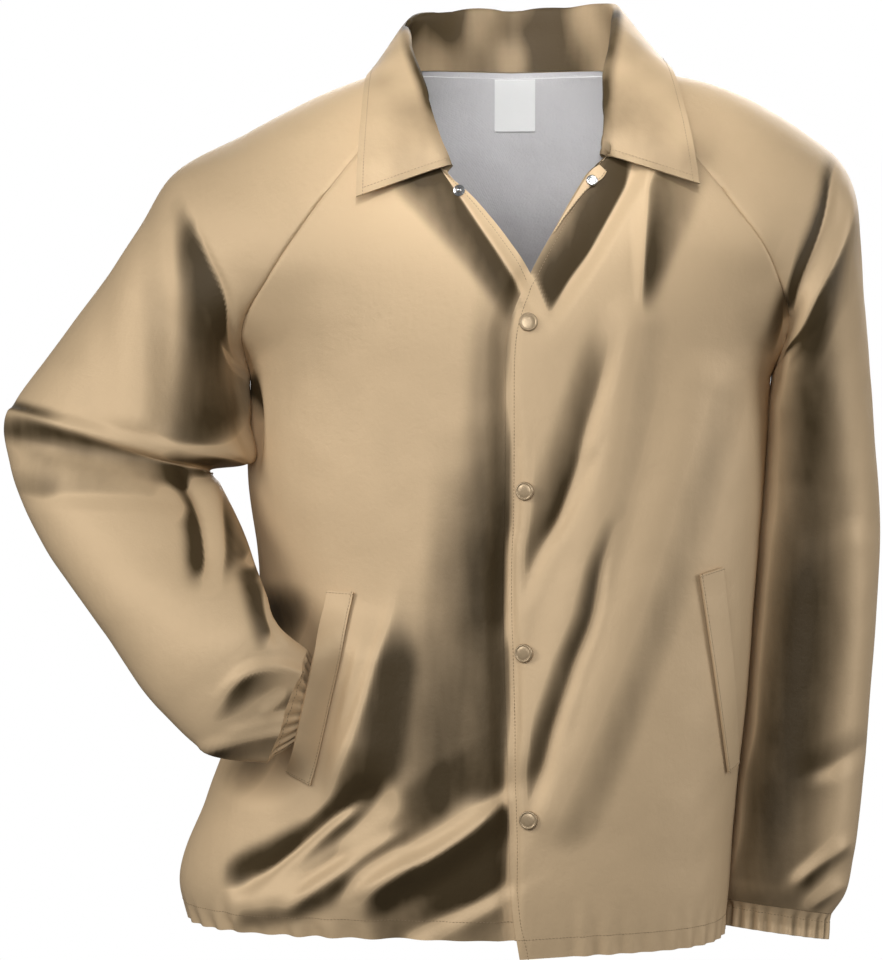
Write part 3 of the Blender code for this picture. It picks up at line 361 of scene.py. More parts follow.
@dataclass(frozen=True)
class Fold:
    """A soft ridge or trough along a line seen from the front, in millimetres.

    Attributes:
        where: the panels it runs over.
        faces: -1 on the front, 1 on the back.
        x0, z0, x1, z1: start and end of its line.
        bow: how far the line bends to its plus side.
        minus, plus: half widths on either side; plus is the right side of a line that runs down.
        height: rise of a ridge, negative for a trough.
        start: width at the start as a share of the full width.
        painted_shading: how strongly painted light and shade on the cloth follow the fold.
    """

    where: Cloth
    faces: int
    x0: float
    z0: float
    x1: float
    z1: float
    bow: float
    minus: float
    plus: float
    height: float
    start: float = 1.0
    painted_shading: float = 1.0

    def heights(self, points: Array, normals: Array, round_side: float = 0.0) -> Array:
        """How far the fold moves points out along their normals.

        Args:
            points: points of a panel, in metres.
            normals: their unit normals.
            round_side: how far it reaches round the side before it fades.

        Returns:
            Offsets in metres.
        """
        x, z = points[..., 0] * 1000, points[..., 2] * 1000
        length = math.hypot(self.x1 - self.x0, self.z1 - self.z0)
        ux, uz = (self.x1 - self.x0) / length, (self.z1 - self.z0) / length
        run = (x - self.x0) * ux + (z - self.z0) * uz
        share = np.clip(run / length, 0.0, 1.0)
        aside = (z - self.z0) * ux - (x - self.x0) * uz - self.bow * 4 * share * (1 - share)
        size = self.start + (1 - self.start) * share
        width = np.where(aside < 0, self.minus, self.plus) * size
        beyond = (run - share * length) / (0.5 * (self.minus + self.plus) * size)
        near = np.clip(np.hypot(aside / width, beyond), 0.0, 1.0)
        seen = smoothstep(normals[..., 1] * self.faces + round_side, 0.0, 0.4) * self.fade(share)
        return 0.001 * self.height * np.minimum(size, 1.0) * self.section(near) * seen

    def section(self, near: Array) -> Array:
        """Height across the fold, from 1 on its line to 0 at its sides."""
        return np.cos(near * math.pi / 2) ** 2

    def fade(self, share: Array) -> Array:
        """How much of the height is left along the line; a large fold keeps all of it."""
        return np.ones_like(share)


@dataclass(frozen=True)
class Crease(Fold):
    """A fine fold with a sharper line, which fades towards both ends.

    Attributes:
        taper: share of the line over which each end fades.
        sharp: power of its cross-section.
        past_end: how far past its ends the fading starts, as a share of the line.
    """

    taper: float = 0.22
    sharp: float = 1.7
    past_end: float = 0.08

    def section(self, near: Array) -> Array:
        """Height across the crease, steepest beside its line."""
        return (1 - np.sqrt(near**2 + 0.01) + 0.005) ** self.sharp * (near < 1)

    def fade(self, share: Array) -> Array:
        """How much of the height is left along the line."""
        start, end = (smoothstep(s, -self.past_end, self.taper) for s in (share, 1 - share))
        return start * end


# The twelfth value of a fold, where given, is how strongly painted light and shade follow it.
MAIN_FOLDS = (
    Fold(Cloth.BODY, -1, -135, -520, -142, -590, 0, 55, 55, 15.0),
    Fold(Cloth.BODY, -1, -205, -500, -222, -600, 0, 52, 52, -16.0),
    Fold(Cloth.BODY, -1, -121, -640, -230, -708, 6, 26, 26, -6.5),
    Fold(Cloth.BODY, -1, -100, -695, -236, -735, 4, 22, 22, 4.0),
    Fold(Cloth.BODY, -1, -30, -655, -120, -718, 4, 26, 26, 5.0),
    Fold(Cloth.ALL, -1, 105, -225, 12, -600, 10, 32, 32, 4.5, 1, 0.2),
    Fold(Cloth.ALL, -1, 166, -280, 38, -647, 8, 36, 44, 4.5, 1, 0.6),
    Fold(Cloth.ALL, -1, -340, -150, -330, -300, 4, 34, 34, 5.0, 1, 0.3),
    Fold(Cloth.ARM, -1, 300, -420, 285, -680, 4, 30, 30, 4.0, 1, 0.1),
    Fold(Cloth.ALL, 1, -150, -180, -60, -420, -12, 40, 40, -7.0, 1, 0.2),
    Fold(Cloth.ALL, 1, 150, -180, 70, -430, 12, 40, 40, -6.5, 1, 0.2),
    Fold(Cloth.BODY, 1, -60, -420, -190, -660, 10, 38, 38, 6.0, 1, 0.2),
    Fold(Cloth.BODY, 1, 60, -460, 120, -690, 10, 36, 36, 5.5, 1, 0.2),
    Fold(Cloth.ALL, 1, -270, -130, -300, -290, 6, 32, 32, -8.0, 1, 0.2),
    Fold(Cloth.ALL, 1, 272, -130, 250, -270, 6, 30, 30, -8.0, 1, 0.2),
    Fold(Cloth.ARM, 1, 270, -340, 250, -620, 8, 34, 34, -6.0, 1, 0.2),
)

# The twelfth value of a crease, where given, is how strongly painted light and shade follow it; some stand
# in for the shadow the body casts on the left sleeve.
FINE_FOLDS = (
    Crease(Cloth.ALL, -1, -84, -58, 25, -222, 2, 26, 10, -7.0, 1.8, 3.8),
    Crease(Cloth.BODY, -1, 2, -194, 2, -502, 0, 55, 8, -4.5, 0.7, 1.5),
    Crease(Cloth.BODY, -1, 2, -339, -2, -810, 0, 111, 9, -9.0, 0.68, 2.7, sharp=1.9),
    Crease(Cloth.BODY, -1, -107, -458, -167, -648, 11, 14, 109, 8.0, 0.4, 1.7),
    Crease(Cloth.BODY, -1, -130, -493, -164, -620, 0, 46, 11, -5.0, 0.5, 1.7),
    Crease(Cloth.BODY, -1, -127, -632, -234, -722, 0, 12, 10, -4.5),
    Crease(Cloth.BODY, -1, -132, -648, -239, -727, 0, 10, 16, 5.0),
    Crease(Cloth.BODY, -1, -141, -685, -190, -716, 0, 11, 10, -4.0),
    Crease(Cloth.BODY, -1, -97, -667, -195, -732, 0, 10, 16, 5.0),
    Crease(Cloth.BODY, -1, -9, -642, -141, -723, 4, 11, 30, 6.0, 1, 1.2),
    Crease(Cloth.BODY, -1, 11, -706, -116, -773, 0, 51, 11, -5.0, 1, 1.3, sharp=1.2),
    Crease(Cloth.BODY, -1, 4, -625, -160, -729, 0, 51, 10, -5.0, 1, 1.3, sharp=1.2),
    Crease(Cloth.ALL, -1, 126, -60, 32, -224, 0, 40, 13, -8.0, 1.1, 1.8),
    Crease(Cloth.ALL, -1, 120, -48, 109, -202, 0, 6, 18, 5.0, 4, 1.8),
    Crease(Cloth.BODY, -1, 93, -233, 5, -475, 5, 42, 12, -7.0, 0.7, 0.9),
    Crease(Cloth.BODY, -1, 74, -333, 35, -414, 0, 17, 10, -5.0, 1, 0.7),
    Crease(Cloth.BODY, -1, 88, -405, 9, -665, 4, 33, 11, -8.0, 0.5, 1.05),
    Crease(Cloth.ALL, -1, -289, -118, -224, -354, 17, 99, 11, -13.0, 0.14, 3),
    Crease(Cloth.ARM, -1, -468, -297, -248, -345, 0, 30, 11, 7.0, 1, 2.8),
    Crease(Cloth.ARM, -1, -451, -320, -246, -370, 0, 30, 22, -4.0, 1, 2.6),
    Crease(Cloth.ARM, -1, -431, -375, -278, -382, 4, 14, 40, -2.5, 1, 3.6, sharp=1.2),
    Crease(Cloth.ARM, -1, -289, -343, -266, -447, 8, 18, 11, -7.0, 1, 1.8),
    Crease(Cloth.ARM, -1, -268, -352, -255, -444, 7, 10, 12, 4.0),
    Crease(Cloth.ARM, -1, -243, -368, -225, -436, 0, 23, 9, -5.0, 1, 1.6),
    Crease(Cloth.ARM, -1, -224, -428, -201, -507, 0, 21, 9, -5.0, 1, 1.8),
    Crease(Cloth.ARM, -1, -260, -551, -153, -554, 30, 26, 11, 5.0, 1, 3.2),
    Crease(Cloth.ARM, -1, -283, -598, -180, -576, 4, 23, 10, 5.0, 1, 2.6),
    Crease(Cloth.ARM, -1, -255, -581, -187, -567, 2, 11, 9, 3.0, 1, 2.4),
    Crease(Cloth.ARM, -1, -220, -565, -194, -544, 0, 12, 9, 3.0, 1, 1.4),
    Crease(Cloth.ALL, -1, 287, -84, 229, -245, 7, 18, 10, -9.0, 0.5, 1.9),
    Crease(Cloth.ALL, -1, 302, -99, 239, -252, 5, 11, 30, 6.0, 0.8, 2.2),
    Crease(Cloth.ARM, -1, 245, -181, 199, -713, 7, 14, 88, 6.0, 0.7, 4.2),
    Crease(Cloth.ARM, -1, 222, -361, 190, -792, 0, 14, 84, 5.0, 1, 2.6),
    Crease(Cloth.ARM, -1, 317, -591, 253, -621, 4, 21, 14, -3.0),
    Crease(Cloth.ARM, -1, 297, -679, 246, -716, 0, 11, 14, 4.0),
    Crease(Cloth.ARM, -1, 299, -716, 259, -737, 0, 11, 11, 3.0),
    Crease(Cloth.ALL, 1, -40, -150, 30, -400, 10, 40, 40, -3.0, 1, 0.5),
    Crease(Cloth.BODY, 1, -20, -480, -120, -720, 8, 30, 26, -4.0, 1, 0.5),
    Crease(Cloth.BODY, 1, 100, -560, 40, -740, -6, 26, 30, 4.0, 1, 0.5),
    Crease(Cloth.BODY, 1, 160, -600, 150, -740, 0, 24, 22, -4.0, 1, 0.5),
    Crease(Cloth.ARM, 1, -380, -250, -300, -330, 8, 24, 22, -5.0, 1, 0.5),
    Crease(Cloth.ARM, 1, -400, -380, -300, -400, 6, 20, 18, -4.0, 1, 0.5),
    Crease(Cloth.ARM, 1, 300, -500, 230, -540, 6, 20, 18, -4.0, 1, 0.5),
    Crease(Cloth.ARM, 1, 300, -640, 210, -660, 5, 18, 16, -3.0, 1, 0.5),
)


def smoothstep(value: Array | float, low: float, high: float) -> Array:
    """0 below low, 1 above high, and smooth between."""
    s = np.clip((np.asarray(value, float) - low) / (high - low), 0.0, 1.0)
    return s * s * (3.0 - 2.0 * s)


def unit(vectors: Array) -> Array:
    """Vectors made one long."""
    return vectors / np.maximum(np.linalg.norm(vectors, axis=-1, keepdims=True), 1e-12)


def bezier(start: Array, lead: Array, end: Array, tail: Array, count: int) -> Array:
    """Rows of points on cubics.

    Args:
        start: start points, a row each.
        lead: handles at the starts.
        end: end points.
        tail: handles at the ends.
        count: steps along each cubic.

    Returns:
        Points by row and column.
    """
    s = np.linspace(0.0, 1.0, count + 1)[:, None]
    a, b, c, d = (p[:, None] for p in (start, start + lead, end + tail, end))
    return (1 - s) ** 3 * a + 3 * (1 - s) ** 2 * s * b + 3 * (1 - s) * s**2 * c + s**3 * d


def grid_normals(grid: Array) -> Array:
    """Outward unit normals of a grid.

    Args:
        grid: points whose rows run up and whose columns run right, seen from outside.

    Returns:
        A normal for each point.
    """
    normals = unit(np.cross(np.gradient(grid, axis=1), np.gradient(grid, axis=0)))
    for row, row_in in ((0, 1), (-1, -2)):
        for column, column_in in ((0, 1), (-1, -2)):
            normals[row, column] = unit(normals[row, column_in] + normals[row_in, column])
    return normals


def run_lengths(grid: Array, axis: int) -> Array:
    """Distances along the rows (axis 1) or columns (axis 0) of a grid, from its first one."""
    steps = np.linalg.norm(np.diff(grid, axis=axis), axis=-1)
    start = np.zeros_like(steps.take([0], axis=axis))
    return np.concatenate([start, np.cumsum(steps, axis=axis)], axis=axis)


def along(line: Array, marks: Array, spots: Array | float) -> Array:
    """Points of a line between its own points.

    Args:
        line: the line's points.
        marks: their rising marks, such as distances along the line.
        spots: the marks where points are wanted.

    Returns:
        The points there, with the axes last.
    """
    return np.stack([np.interp(spots, marks, line[:, k]) for k in range(3)], axis=-1)


def value_noise(points: Array, cell: float, seed: int) -> Array:
    """Smooth noise from -1 to 1 over space.

    Args:
        points: points in metres.
        cell: size of a noise cell in metres.
        seed: fixed seed.

    Returns:
        A value for each point.
    """
    size = 32
    table = np.random.default_rng(seed).uniform(-1.0, 1.0, (size, size, size))
    scaled = points / cell
    base = np.floor(scaled).astype(int)
    part = scaled - base
    part = part * part * (3 - 2 * part)
    total = np.zeros(points.shape[:-1])
    for corner in np.ndindex(2, 2, 2):
        weight = np.prod(np.where(np.array(corner) == 1, part, 1 - part), axis=-1)
        spot = (base + np.array(corner)) % size
        total += weight * table[spot[..., 0], spot[..., 1], spot[..., 2]]
    return total


@dataclass(frozen=True)
class Noise:
    """Smooth noise of a given strength.

    Attributes:
        amount: its largest value.
        cell: size of a noise cell in metres.
        seed: fixed seed.
    """

    amount: float
    cell: float
    seed: int

    def at(self, points: Array) -> Array:
        """The noise at each point."""
        return self.amount * value_noise(points, self.cell, self.seed)


@dataclass
class Skin:
    """The outer side of a panel.

    Attributes:
        grid: points by row and column.
        normals: outward normals.
        tone: painted light and shade of the cloth, from -1, dark, to 1, lit.
        tied: how many first rows are closed rings.
    """

    grid: Array
    normals: Array
    tone: Array
    tied: int = 0

    def inner(self, thickness: float) -> Array:
        """The inner side of the panel's wall."""
        return self.grid - thickness * self.normals

    def flipped(self) -> "Skin":
        """The same skin with its last row first."""
        return Skin(self.grid[::-1], self.normals[::-1], self.tone[::-1])

    def inset(self, column: int, distance: float, lift: float) -> tuple[Array, Array]:
        """A line at a distance from the first or last column.

        Args:
            column: 0 or -1.
            distance: how far in, in metres.
            lift: how far above the cloth.

        Returns:
            The line's points and normals.
        """
        grid = self.grid if column == 0 else self.grid[:, ::-1]
        normals = self.normals if column == 0 else self.normals[:, ::-1]
        runs = run_lengths(grid, 1)
        points = np.array([along(line, run, distance) for line, run in zip(grid, runs)])
        facing = unit(np.array([along(line, run, distance) for line, run in zip(normals, runs)]))
        return points + lift * facing, facing

    def above(self, distance: float, lift: float) -> tuple[Array, Array]:
        """A line at a distance above the first row, with its normals."""
        turned = Skin(self.grid.transpose(1, 0, 2), self.normals.transpose(1, 0, 2), self.tone.T)
        return turned.inset(0, distance, lift)


@dataclass
class JacketForm:
    """The outer surface of the five main panels, from the pattern and its folds.

    Attributes:
        wall: thickness of the shell.
        seam_gap, seam_dip, seam_reach: room between panels, how far a seam draws cloth in, and how wide.
        gap_share, gap_sink: shares of the gap by which a seam is drawn back, and sunk at the underarm.
        lap_drop, lap_ease: how far the right front lies behind the left one, and the width of that drop.
        lap_centre, lap_flat: where the hem is kept flat for the lap.
        front_gathers, back_gathers: gathers of a front and of half of the back.
        gather_steps, gather_rise: columns to a gather, and how high the hem's gathers reach.
        gather_mean, gather_uneven, gather_sway: their height, how it varies, and their sway.
        rise_mean, rise_uneven: the share of gather_rise that they reach, and how it varies.
        hem_line, hem_pinch, hem_pinch_reach: height of the hem's stitches, and how they flatten gathers.
        body_rows, raglan_rows, arm_rows: rows up to the underarm, on to the neck, and on an arm.
        sleeve_columns: columns on half of a sleeve.
        hem_drop, hem_drop_ease: how steeply rows leave a side seam at the hem, and how much less above.
        side_lead, chest_lead, middle_lead: handles of rows at a side seam, a raglan seam and the middle.
        cap_lean, cap_lead: how far a sleeve leans out at the underarm, and its handles on the chest.
        ease_rows, ease_width: rows and width of the mean that smooths the turn at the underarm.
        ease_near, ease_away: rows from that level and distances from a seam where it takes effect.
        crease_limit: how alike normals have to be to count as one surface.
        crumple, wander: the cloth's uneven lie, and how far the folds' lines wander along each axis.
        nap, painted_light_gain, painted_depth_gain: direction of the painted light, and how strongly the
        painted light and shade follow a lean and a fold's height.
        touch, touch_facing, touch_low, touch_high: how far sleeves bulge towards the body, and where.
        round_side: how far the folds' painted light and shade reach round the sides.
            back_calm, back_band: how much of that painted light and shade is taken away on the back, and
                where.
    """

    wall: float = 0.0015
    seam_gap: float = 0.0003
    seam_dip: float = 0.0012
    seam_reach: float = 0.0020
    gap_share: float = 0.55
    gap_sink: float = 1.6
    lap_drop: float = 0.0038
    lap_ease: float = 0.018
    lap_centre: float = 0.0175
    lap_flat: Pair = (0.022, 0.050)
    front_gathers: int = 12
    back_gathers: int = 11
    gather_steps: int = 10
    gather_rise: float = 0.085
    gather_mean: float = 0.75
    gather_uneven: Noise = Noise(0.5, 0.037, 9)
    gather_sway: Noise = Noise(1.1, 0.046, 5)
    rise_mean: float = 0.5
    rise_uneven: Noise = Noise(0.35, 0.030, 12)
    hem_line: float = 0.0176
    hem_pinch: float = 0.35
    hem_pinch_reach: float = 0.005
    body_rows: int = 130
    raglan_rows: int = 64
    arm_rows: int = 168
    sleeve_columns: int = 62
    hem_drop: float = 0.80
    hem_drop_ease: float = 0.47
    side_lead: Pair = (0.10, 0.60)
    chest_lead: Triple = (0.36, 0.60, 0.36)
    middle_lead: Triple = (0.58, 0.38, 0.33)
    cap_lean: float = 0.35
    cap_lead: float = 0.48
    ease_rows: int = 24
    ease_width: float = 8.0
    ease_near: Pair = (8, 40)
    ease_away: Pair = (0.008, 0.055)
    crease_limit: float = 0.2
    crumple: tuple[Noise, Noise] = (Noise(0.0004, 0.024, 3), Noise(0.0004, 0.055, 4))
    # Direction of the light that the folds' painted light and shade are worked out for.
    nap: Triple = (-0.90, 0.0, 0.43)
    painted_light_gain: float = 4.2
    painted_depth_gain: float = 25.0
    wander: tuple[Noise, ...] = tuple(Noise(0.0032, 0.048, seed) for seed in (31, 32, 33))
    touch: float = 0.0032
    touch_facing: Pair = (0.4, 0.9)
    touch_low: Pair = (-0.44, -0.40)
    touch_high: Pair = (-0.30, -0.272)
    round_side: float = 0.5
    back_calm: float = 0.75
    back_band: Pair = (-0.05, 0.35)

    def __post_init__(self) -> None:
        """Lays out the stations along the body, the raglan seams and the arms."""
        self.halves = {Side.RIGHT: RIGHT_HALF, Side.LEFT: LEFT_HALF}
        self.body_v = np.linspace(0.0, 1.0, self.body_rows + 1)
        self.raglan_v = np.linspace(1.0, 2.0, self.raglan_rows + 1)
        self.arm_t = np.linspace(1.0, 0.0, self.arm_rows + 1)[:-1]
        self.skins: dict[str, Skin] = {}

    @staticmethod
    def turn(v: Array) -> Array:
        """0 at the underarm, where cloth wraps the side, and 1 higher up, on the chest or back."""
        return smoothstep(v, 1.0, 1.4)

    @staticmethod
    def spread(v: Array) -> Array:
        """How far sleeve and body lean apart where they leave the underarm."""
        return smoothstep(v, 1.0, 1.1)

    def body_leads(self, seam: Array, middle: Array, v: Array) -> tuple[Array, Array]:
        """Handles of body rows at their seams and at the front edge or centre back.

        Args:
            seam: points on the side or raglan seam.
            middle: points on the front edge or centre back.
            v: stations of the rows.

        Returns:
            Handles at the seam and at the middle.
        """
        span = middle - seam
        turn, spread = self.turn(v)[:, None], self.spread(v)
        drop = self.hem_drop - self.hem_drop_ease * smoothstep(v, 0.0, 0.2)
        lead_x, lead_y = self.side_lead
        wrap = np.stack([lead_x * spread * span[:, 0], lead_y * span[:, 1], drop * span[:, 2]], axis=1)
        across = np.array(self.chest_lead) * span
        low, high, down = self.middle_lead
        tail_share = (low * (1 - turn) + high * turn)[:, 0]
        tail = -np.stack([tail_share * span[:, 0], 0.0 * v, down * span[:, 2]], axis=1)
        return wrap * (1 - turn) + across * turn, tail

    def front_grid(self, side: Side, v: Array) -> Array:
        """Rows of a front panel, from left to right as seen from outside.

        Args:
            side: the wearer's side.
            v: stations from the hem to the neck.

        Returns:
            Points by row and column.
        """
        half = self.halves[side]
        seam = np.where(v[:, None] <= 1, half.side_seam.points(v), half.front_raglan.points(v))
        edge = half.front_edge.points(v)
        lead, tail = self.body_leads(seam, edge, v)
        rows = bezier(seam, lead, edge, tail, self.front_gathers * self.gather_steps)
        return rows if side is Side.RIGHT else rows[:, ::-1]

    def back_grid(self, v: Array) -> Array:
        """Rows of the back panel, from the left seam over the centre to the right seam.

        Args:
            v: stations from the hem to the neck.

        Returns:
            Points by row and column.
        """
        centre, halves = CENTRE_BACK.points(v), {}
        for side, half in self.halves.items():
            seam = np.where(v[:, None] <= 1, half.side_seam.points(v), half.back_raglan.points(v))
            lead, tail = self.body_leads(seam, centre, v)
            halves[side] = bezier(seam, lead, centre, tail, self.back_gathers * self.gather_steps)
        return np.concatenate([halves[Side.LEFT], halves[Side.RIGHT][:, ::-1][:, 1:]], axis=1)

    def cap_grid(self, side: Side, v: Array) -> Array:
        """Arcs of a sleeve above the underarm, from one raglan seam over the shoulder to the other.

        Args:
            side: the wearer's side.
            v: stations from the underarm to the neck.

        Returns:
            Points by row and column.
        """
        half = self.halves[side]
        top = half.shoulder.points(v)
        outward = np.array([1.0 if side is Side.LEFT else -1.0, 0.0, 0.0])
        turn, parts = self.turn(v)[:, None], []
        for seams, middle, depth, column in (
            (half.front_raglan, half.front_edge.points(v), FORWARD, "front"),
            (half.back_raglan, CENTRE_BACK.points(v), -FORWARD, "back"),
        ):
            seam = seams.points(v)
            body_lead, _ = self.body_leads(seam, middle, v)
            reach = half.arm.at(column, 0.0) * 4 / 3
            round_arm = depth * reach + outward * reach * self.cap_lean * self.spread(v)[:, None]
            away = -unit(body_lead) * self.cap_lead * np.linalg.norm(top - seam, axis=1, keepdims=True)
            lead = round_arm * (1 - turn) + away * turn
            tail = depth * half.shoulder.at(column, v)[:, None]
            parts.append(bezier(seam, lead, top, tail, self.sleeve_columns))
        arcs = np.concatenate([parts[0], parts[1][:, ::-1][:, 1:]], axis=1)
        return arcs if side is Side.LEFT else arcs[:, ::-1]

    @staticmethod
    def rings(table: Table, t: Array, count: int) -> Array:
        """Closed rings of a sleeve or cuff, from the inner line round and back to it.

        Args:
            table: the rings' sections.
            t: stations.
            count: columns on half a ring.

        Returns:
            Rows of points; the last column repeats the first.
        """
        outer, inner = table.points(t, "outer_"), table.points(t, "inner_")
        front = FORWARD * table.at("front", t)[:, None] * 4 / 3
        back = -FORWARD * table.at("back", t)[:, None] * 4 / 3
        first = bezier(inner, front, outer, front, count)
        second = bezier(outer, back, inner, back, count)
        closed = np.concatenate([first, second[:, 1:]], axis=1)
        return closed if outer[0, 0] > 0 else closed[:, ::-1]

    def sleeve_grid(self, side: Side) -> Array:
        """Rows of a sleeve, from the cuff seam over the arm to the neck."""
        arm = self.rings(self.halves[side].arm, self.arm_t, self.sleeve_columns)
        return np.concatenate([arm, self.cap_grid(side, self.raglan_v)], axis=0)

    def eased(self, name: str, grid: Array) -> Array:
        """The grid with the turn at the underarm level smoothed, except near its seams.

        Args:
            name: the panel.
            grid: its points.

        Returns:
            The smoothed grid.
        """
        level = len(self.arm_t) if name.startswith("sleeve") else self.body_rows
        reach = self.ease_rows
        weights = np.exp(-((np.arange(-reach, reach + 1) / self.ease_width) ** 2))
        padded = np.pad(grid, ((reach, reach), (0, 0), (0, 0)), mode="reflect", reflect_type="odd")
        smooth = sum(w * padded[i : i + len(grid)] for i, w in enumerate(weights / weights.sum()))
        near = 1 - smoothstep(np.abs(np.arange(len(grid)) - level), *self.ease_near)
        runs = run_lengths(grid, 1)
        sides = {"front_right": runs, "front_left": runs[:, -1:] - runs}
        away = sides.get(name, np.minimum(runs, runs[:, -1:] - runs))
        share = near[:, None] * smoothstep(away, *self.ease_away)
        return grid + (smooth - grid) * share[..., None]

    @staticmethod
    def meetings(grids: dict[str, Array]) -> list[list[tuple[str, tuple[int, int]]]]:
        """Places on the panels' side columns that meet at one point.

        Args:
            grids: points of the panels by name.

        Returns:
            Groups of panel names and places.
        """
        found: dict[tuple, list] = {}
        for name, grid in grids.items():
            for column in (0, grid.shape[1] - 1):
                for row, point in enumerate(np.round(grid[:, column], 6)):
                    found.setdefault(tuple(point), []).append((name, (row, column)))
        return [members for members in found.values() if len(members) > 1]

    def shared_normals(self, grids: dict[str, Array]) -> dict[str, Array]:
        """Normals of all panels, alike on both sides of a seam except in a sharp crease.

        Args:
            grids: points of the panels by name.

        Returns:
            Normals by name.
        """
        own = {name: grid_normals(grid) for name, grid in grids.items()}
        shared = {name: normals.copy() for name, normals in own.items()}
        for members in self.meetings(grids):
            normals = np.array([own[name][spot] for name, spot in members])
            alike = normals @ normals.T
            for i, (name, spot) in enumerate(members):
                shared[name][spot] = unit(normals[alike[i] > self.crease_limit].sum(axis=0))
        return shared

    def tie(self, grids: dict[str, Array], shifts: dict[str, Array]) -> None:
        """Lets panels that meet at a seam move there together.

        Args:
            grids: points of the panels by name.
            shifts: how far the points move; changed in place.
        """
        for members in self.meetings(grids):
            mean = np.mean([shifts[name][spot] for name, spot in members], axis=0)
            for name, spot in members:
                shifts[name][spot] = mean

    def folded(self, grid: Array, normals: Array, kind: Cloth) -> tuple[Array, Array]:
        """Heights of the folds on a panel, plain and weighted by how strongly painted light and shade follow
        each fold.

        Args:
            grid: points of the panel.
            normals: their normals.
            kind: body or arm.

        Returns:
            Both heights, in metres.
        """
        wandered = grid + np.stack([noise.at(grid) for noise in self.wander], axis=-1)
        plain, weighted = np.zeros(grid.shape[:2]), np.zeros(grid.shape[:2])
        for fold in MAIN_FOLDS + FINE_FOLDS:
            if fold.where in (Cloth.ALL, kind):
                place = wandered if isinstance(fold, Crease) else grid
                plain += fold.heights(place, normals)
                weighted += fold.heights(place, normals, self.round_side) * fold.painted_shading
        return plain, weighted

    def bulge(self, name: str, grid: Array, normals: Array) -> Array:
        """How far a sleeve bulges towards the body, so that they touch below the underarm.

        Args:
            name: the sleeve's name.
            grid, normals: its points and normals.

        Returns:
            Distances by row and column.
        """
        inward = normals[..., 0] * (1.0 if name.endswith("right") else -1.0)
        height = grid[..., 2]
        band = smoothstep(height, *self.touch_low) * (1 - smoothstep(height, *self.touch_high))
        return self.touch * smoothstep(inward, *self.touch_facing) * band

    def left_edge_x(self, z: Array | float) -> Array:
        """The line of the left front edge, seen from the front."""
        line = LEFT_HALF.front_edge.points(np.linspace(0.0, 2.0, 161))
        return np.interp(z, line[:, 2], line[:, 0])

    def lap(self, points: Array) -> Array:
        """How far the right front lies behind its own line, where the left front covers it."""
        past = points[..., 0] - self.left_edge_x(points[..., 2])
        return self.lap_drop * smoothstep(past, -self.lap_ease, -0.002)

    def gathers(self, points: Array) -> Array:
        """Uneven waves along the hem.

        Args:
            points: points of a body panel whose first rows lie at the hem.

        Returns:
            Offsets in metres, fading out above the hem.
        """
        columns = np.arange(points.shape[1])
        waves = np.sin(columns * 2 * math.pi / self.gather_steps + self.gather_sway.at(points[0]))
        waves = waves * (self.gather_mean + self.gather_uneven.at(points[0]))
        height = HEM_GATHER_HEIGHTS.at("height", np.clip(points[..., 0], -0.3, 0.2))
        up = run_lengths(points, 0)
        reach = self.gather_rise * (self.rise_mean + self.rise_uneven.at(points[0]))
        fade = np.clip(up / reach, 0.0, 1.0)
        pinch = 1.0 - self.hem_pinch * np.exp(-(((up - self.hem_line) / self.hem_pinch_reach) ** 2))
        share = np.cos(fade * math.pi / 2) ** 2 * pinch
        off_lap = smoothstep(np.abs(points[..., 0] - self.lap_centre), *self.lap_flat)
        flat = np.where(points[..., 1] < 0, off_lap, 1.0)
        return waves * share * height * flat

    def lean(self, grid: Array, normals: Array, folds: Array, painted_shading: Array) -> Array:
        """Painted light and shade from the folds: below 0, shade, where they turn the cloth away from a
        fixed light or lie low.

        Args:
            grid: points of a panel without folds.
            normals: their normals.
            folds: heights of the folds.
            painted_shading: the same, weighted by how strongly painted light and shade follow each fold.

        Returns:
            Values from -1, painted shade, to 1, painted light.
        """
        turned = grid_normals(grid + normals * painted_shading[..., None]) - grid_normals(grid)
        # Painted light where folds turn the cloth towards a light from the upper left, seen from the front,
        # and painted shade where they turn away or sink in.
        tone = self.painted_light_gain * (turned @ self.nap) + self.painted_depth_gain * folds
        for axis in (0, 1, 0, 1):
            padded = np.pad(tone, [(1, 1) if axis == k else (0, 0) for k in (0, 1)], mode="edge")
            ends = [padded.take(range(k, k + tone.shape[axis]), axis=axis) for k in (0, 1, 2)]
            tone = 0.25 * ends[0] + 0.5 * ends[1] + 0.25 * ends[2]
        # Painted light and shade, weakened on the back.
        return np.tanh(tone) * (1 - self.back_calm * smoothstep(normals[..., 1], *self.back_band))

    def seam_draw(self, name: str, grid: Array, tied: int) -> Array:
        """How far the cloth dips towards its seams.

        Args:
            name: the panel.
            grid: its points.
            tied: how many first rows are rings.

        Returns:
            Offsets in metres.
        """
        runs = run_lengths(grid, 1)
        from_end = runs[:, -1:] - runs
        sides = {"front_right": (runs,), "front_left": (from_end,)}.get(name, (runs, from_end))
        total = np.zeros(runs.shape)
        for away in sides:
            total = np.minimum(total, -self.seam_dip * np.exp(-((away / self.seam_reach) ** 2)))
        total[:tied] *= 0.5
        return total

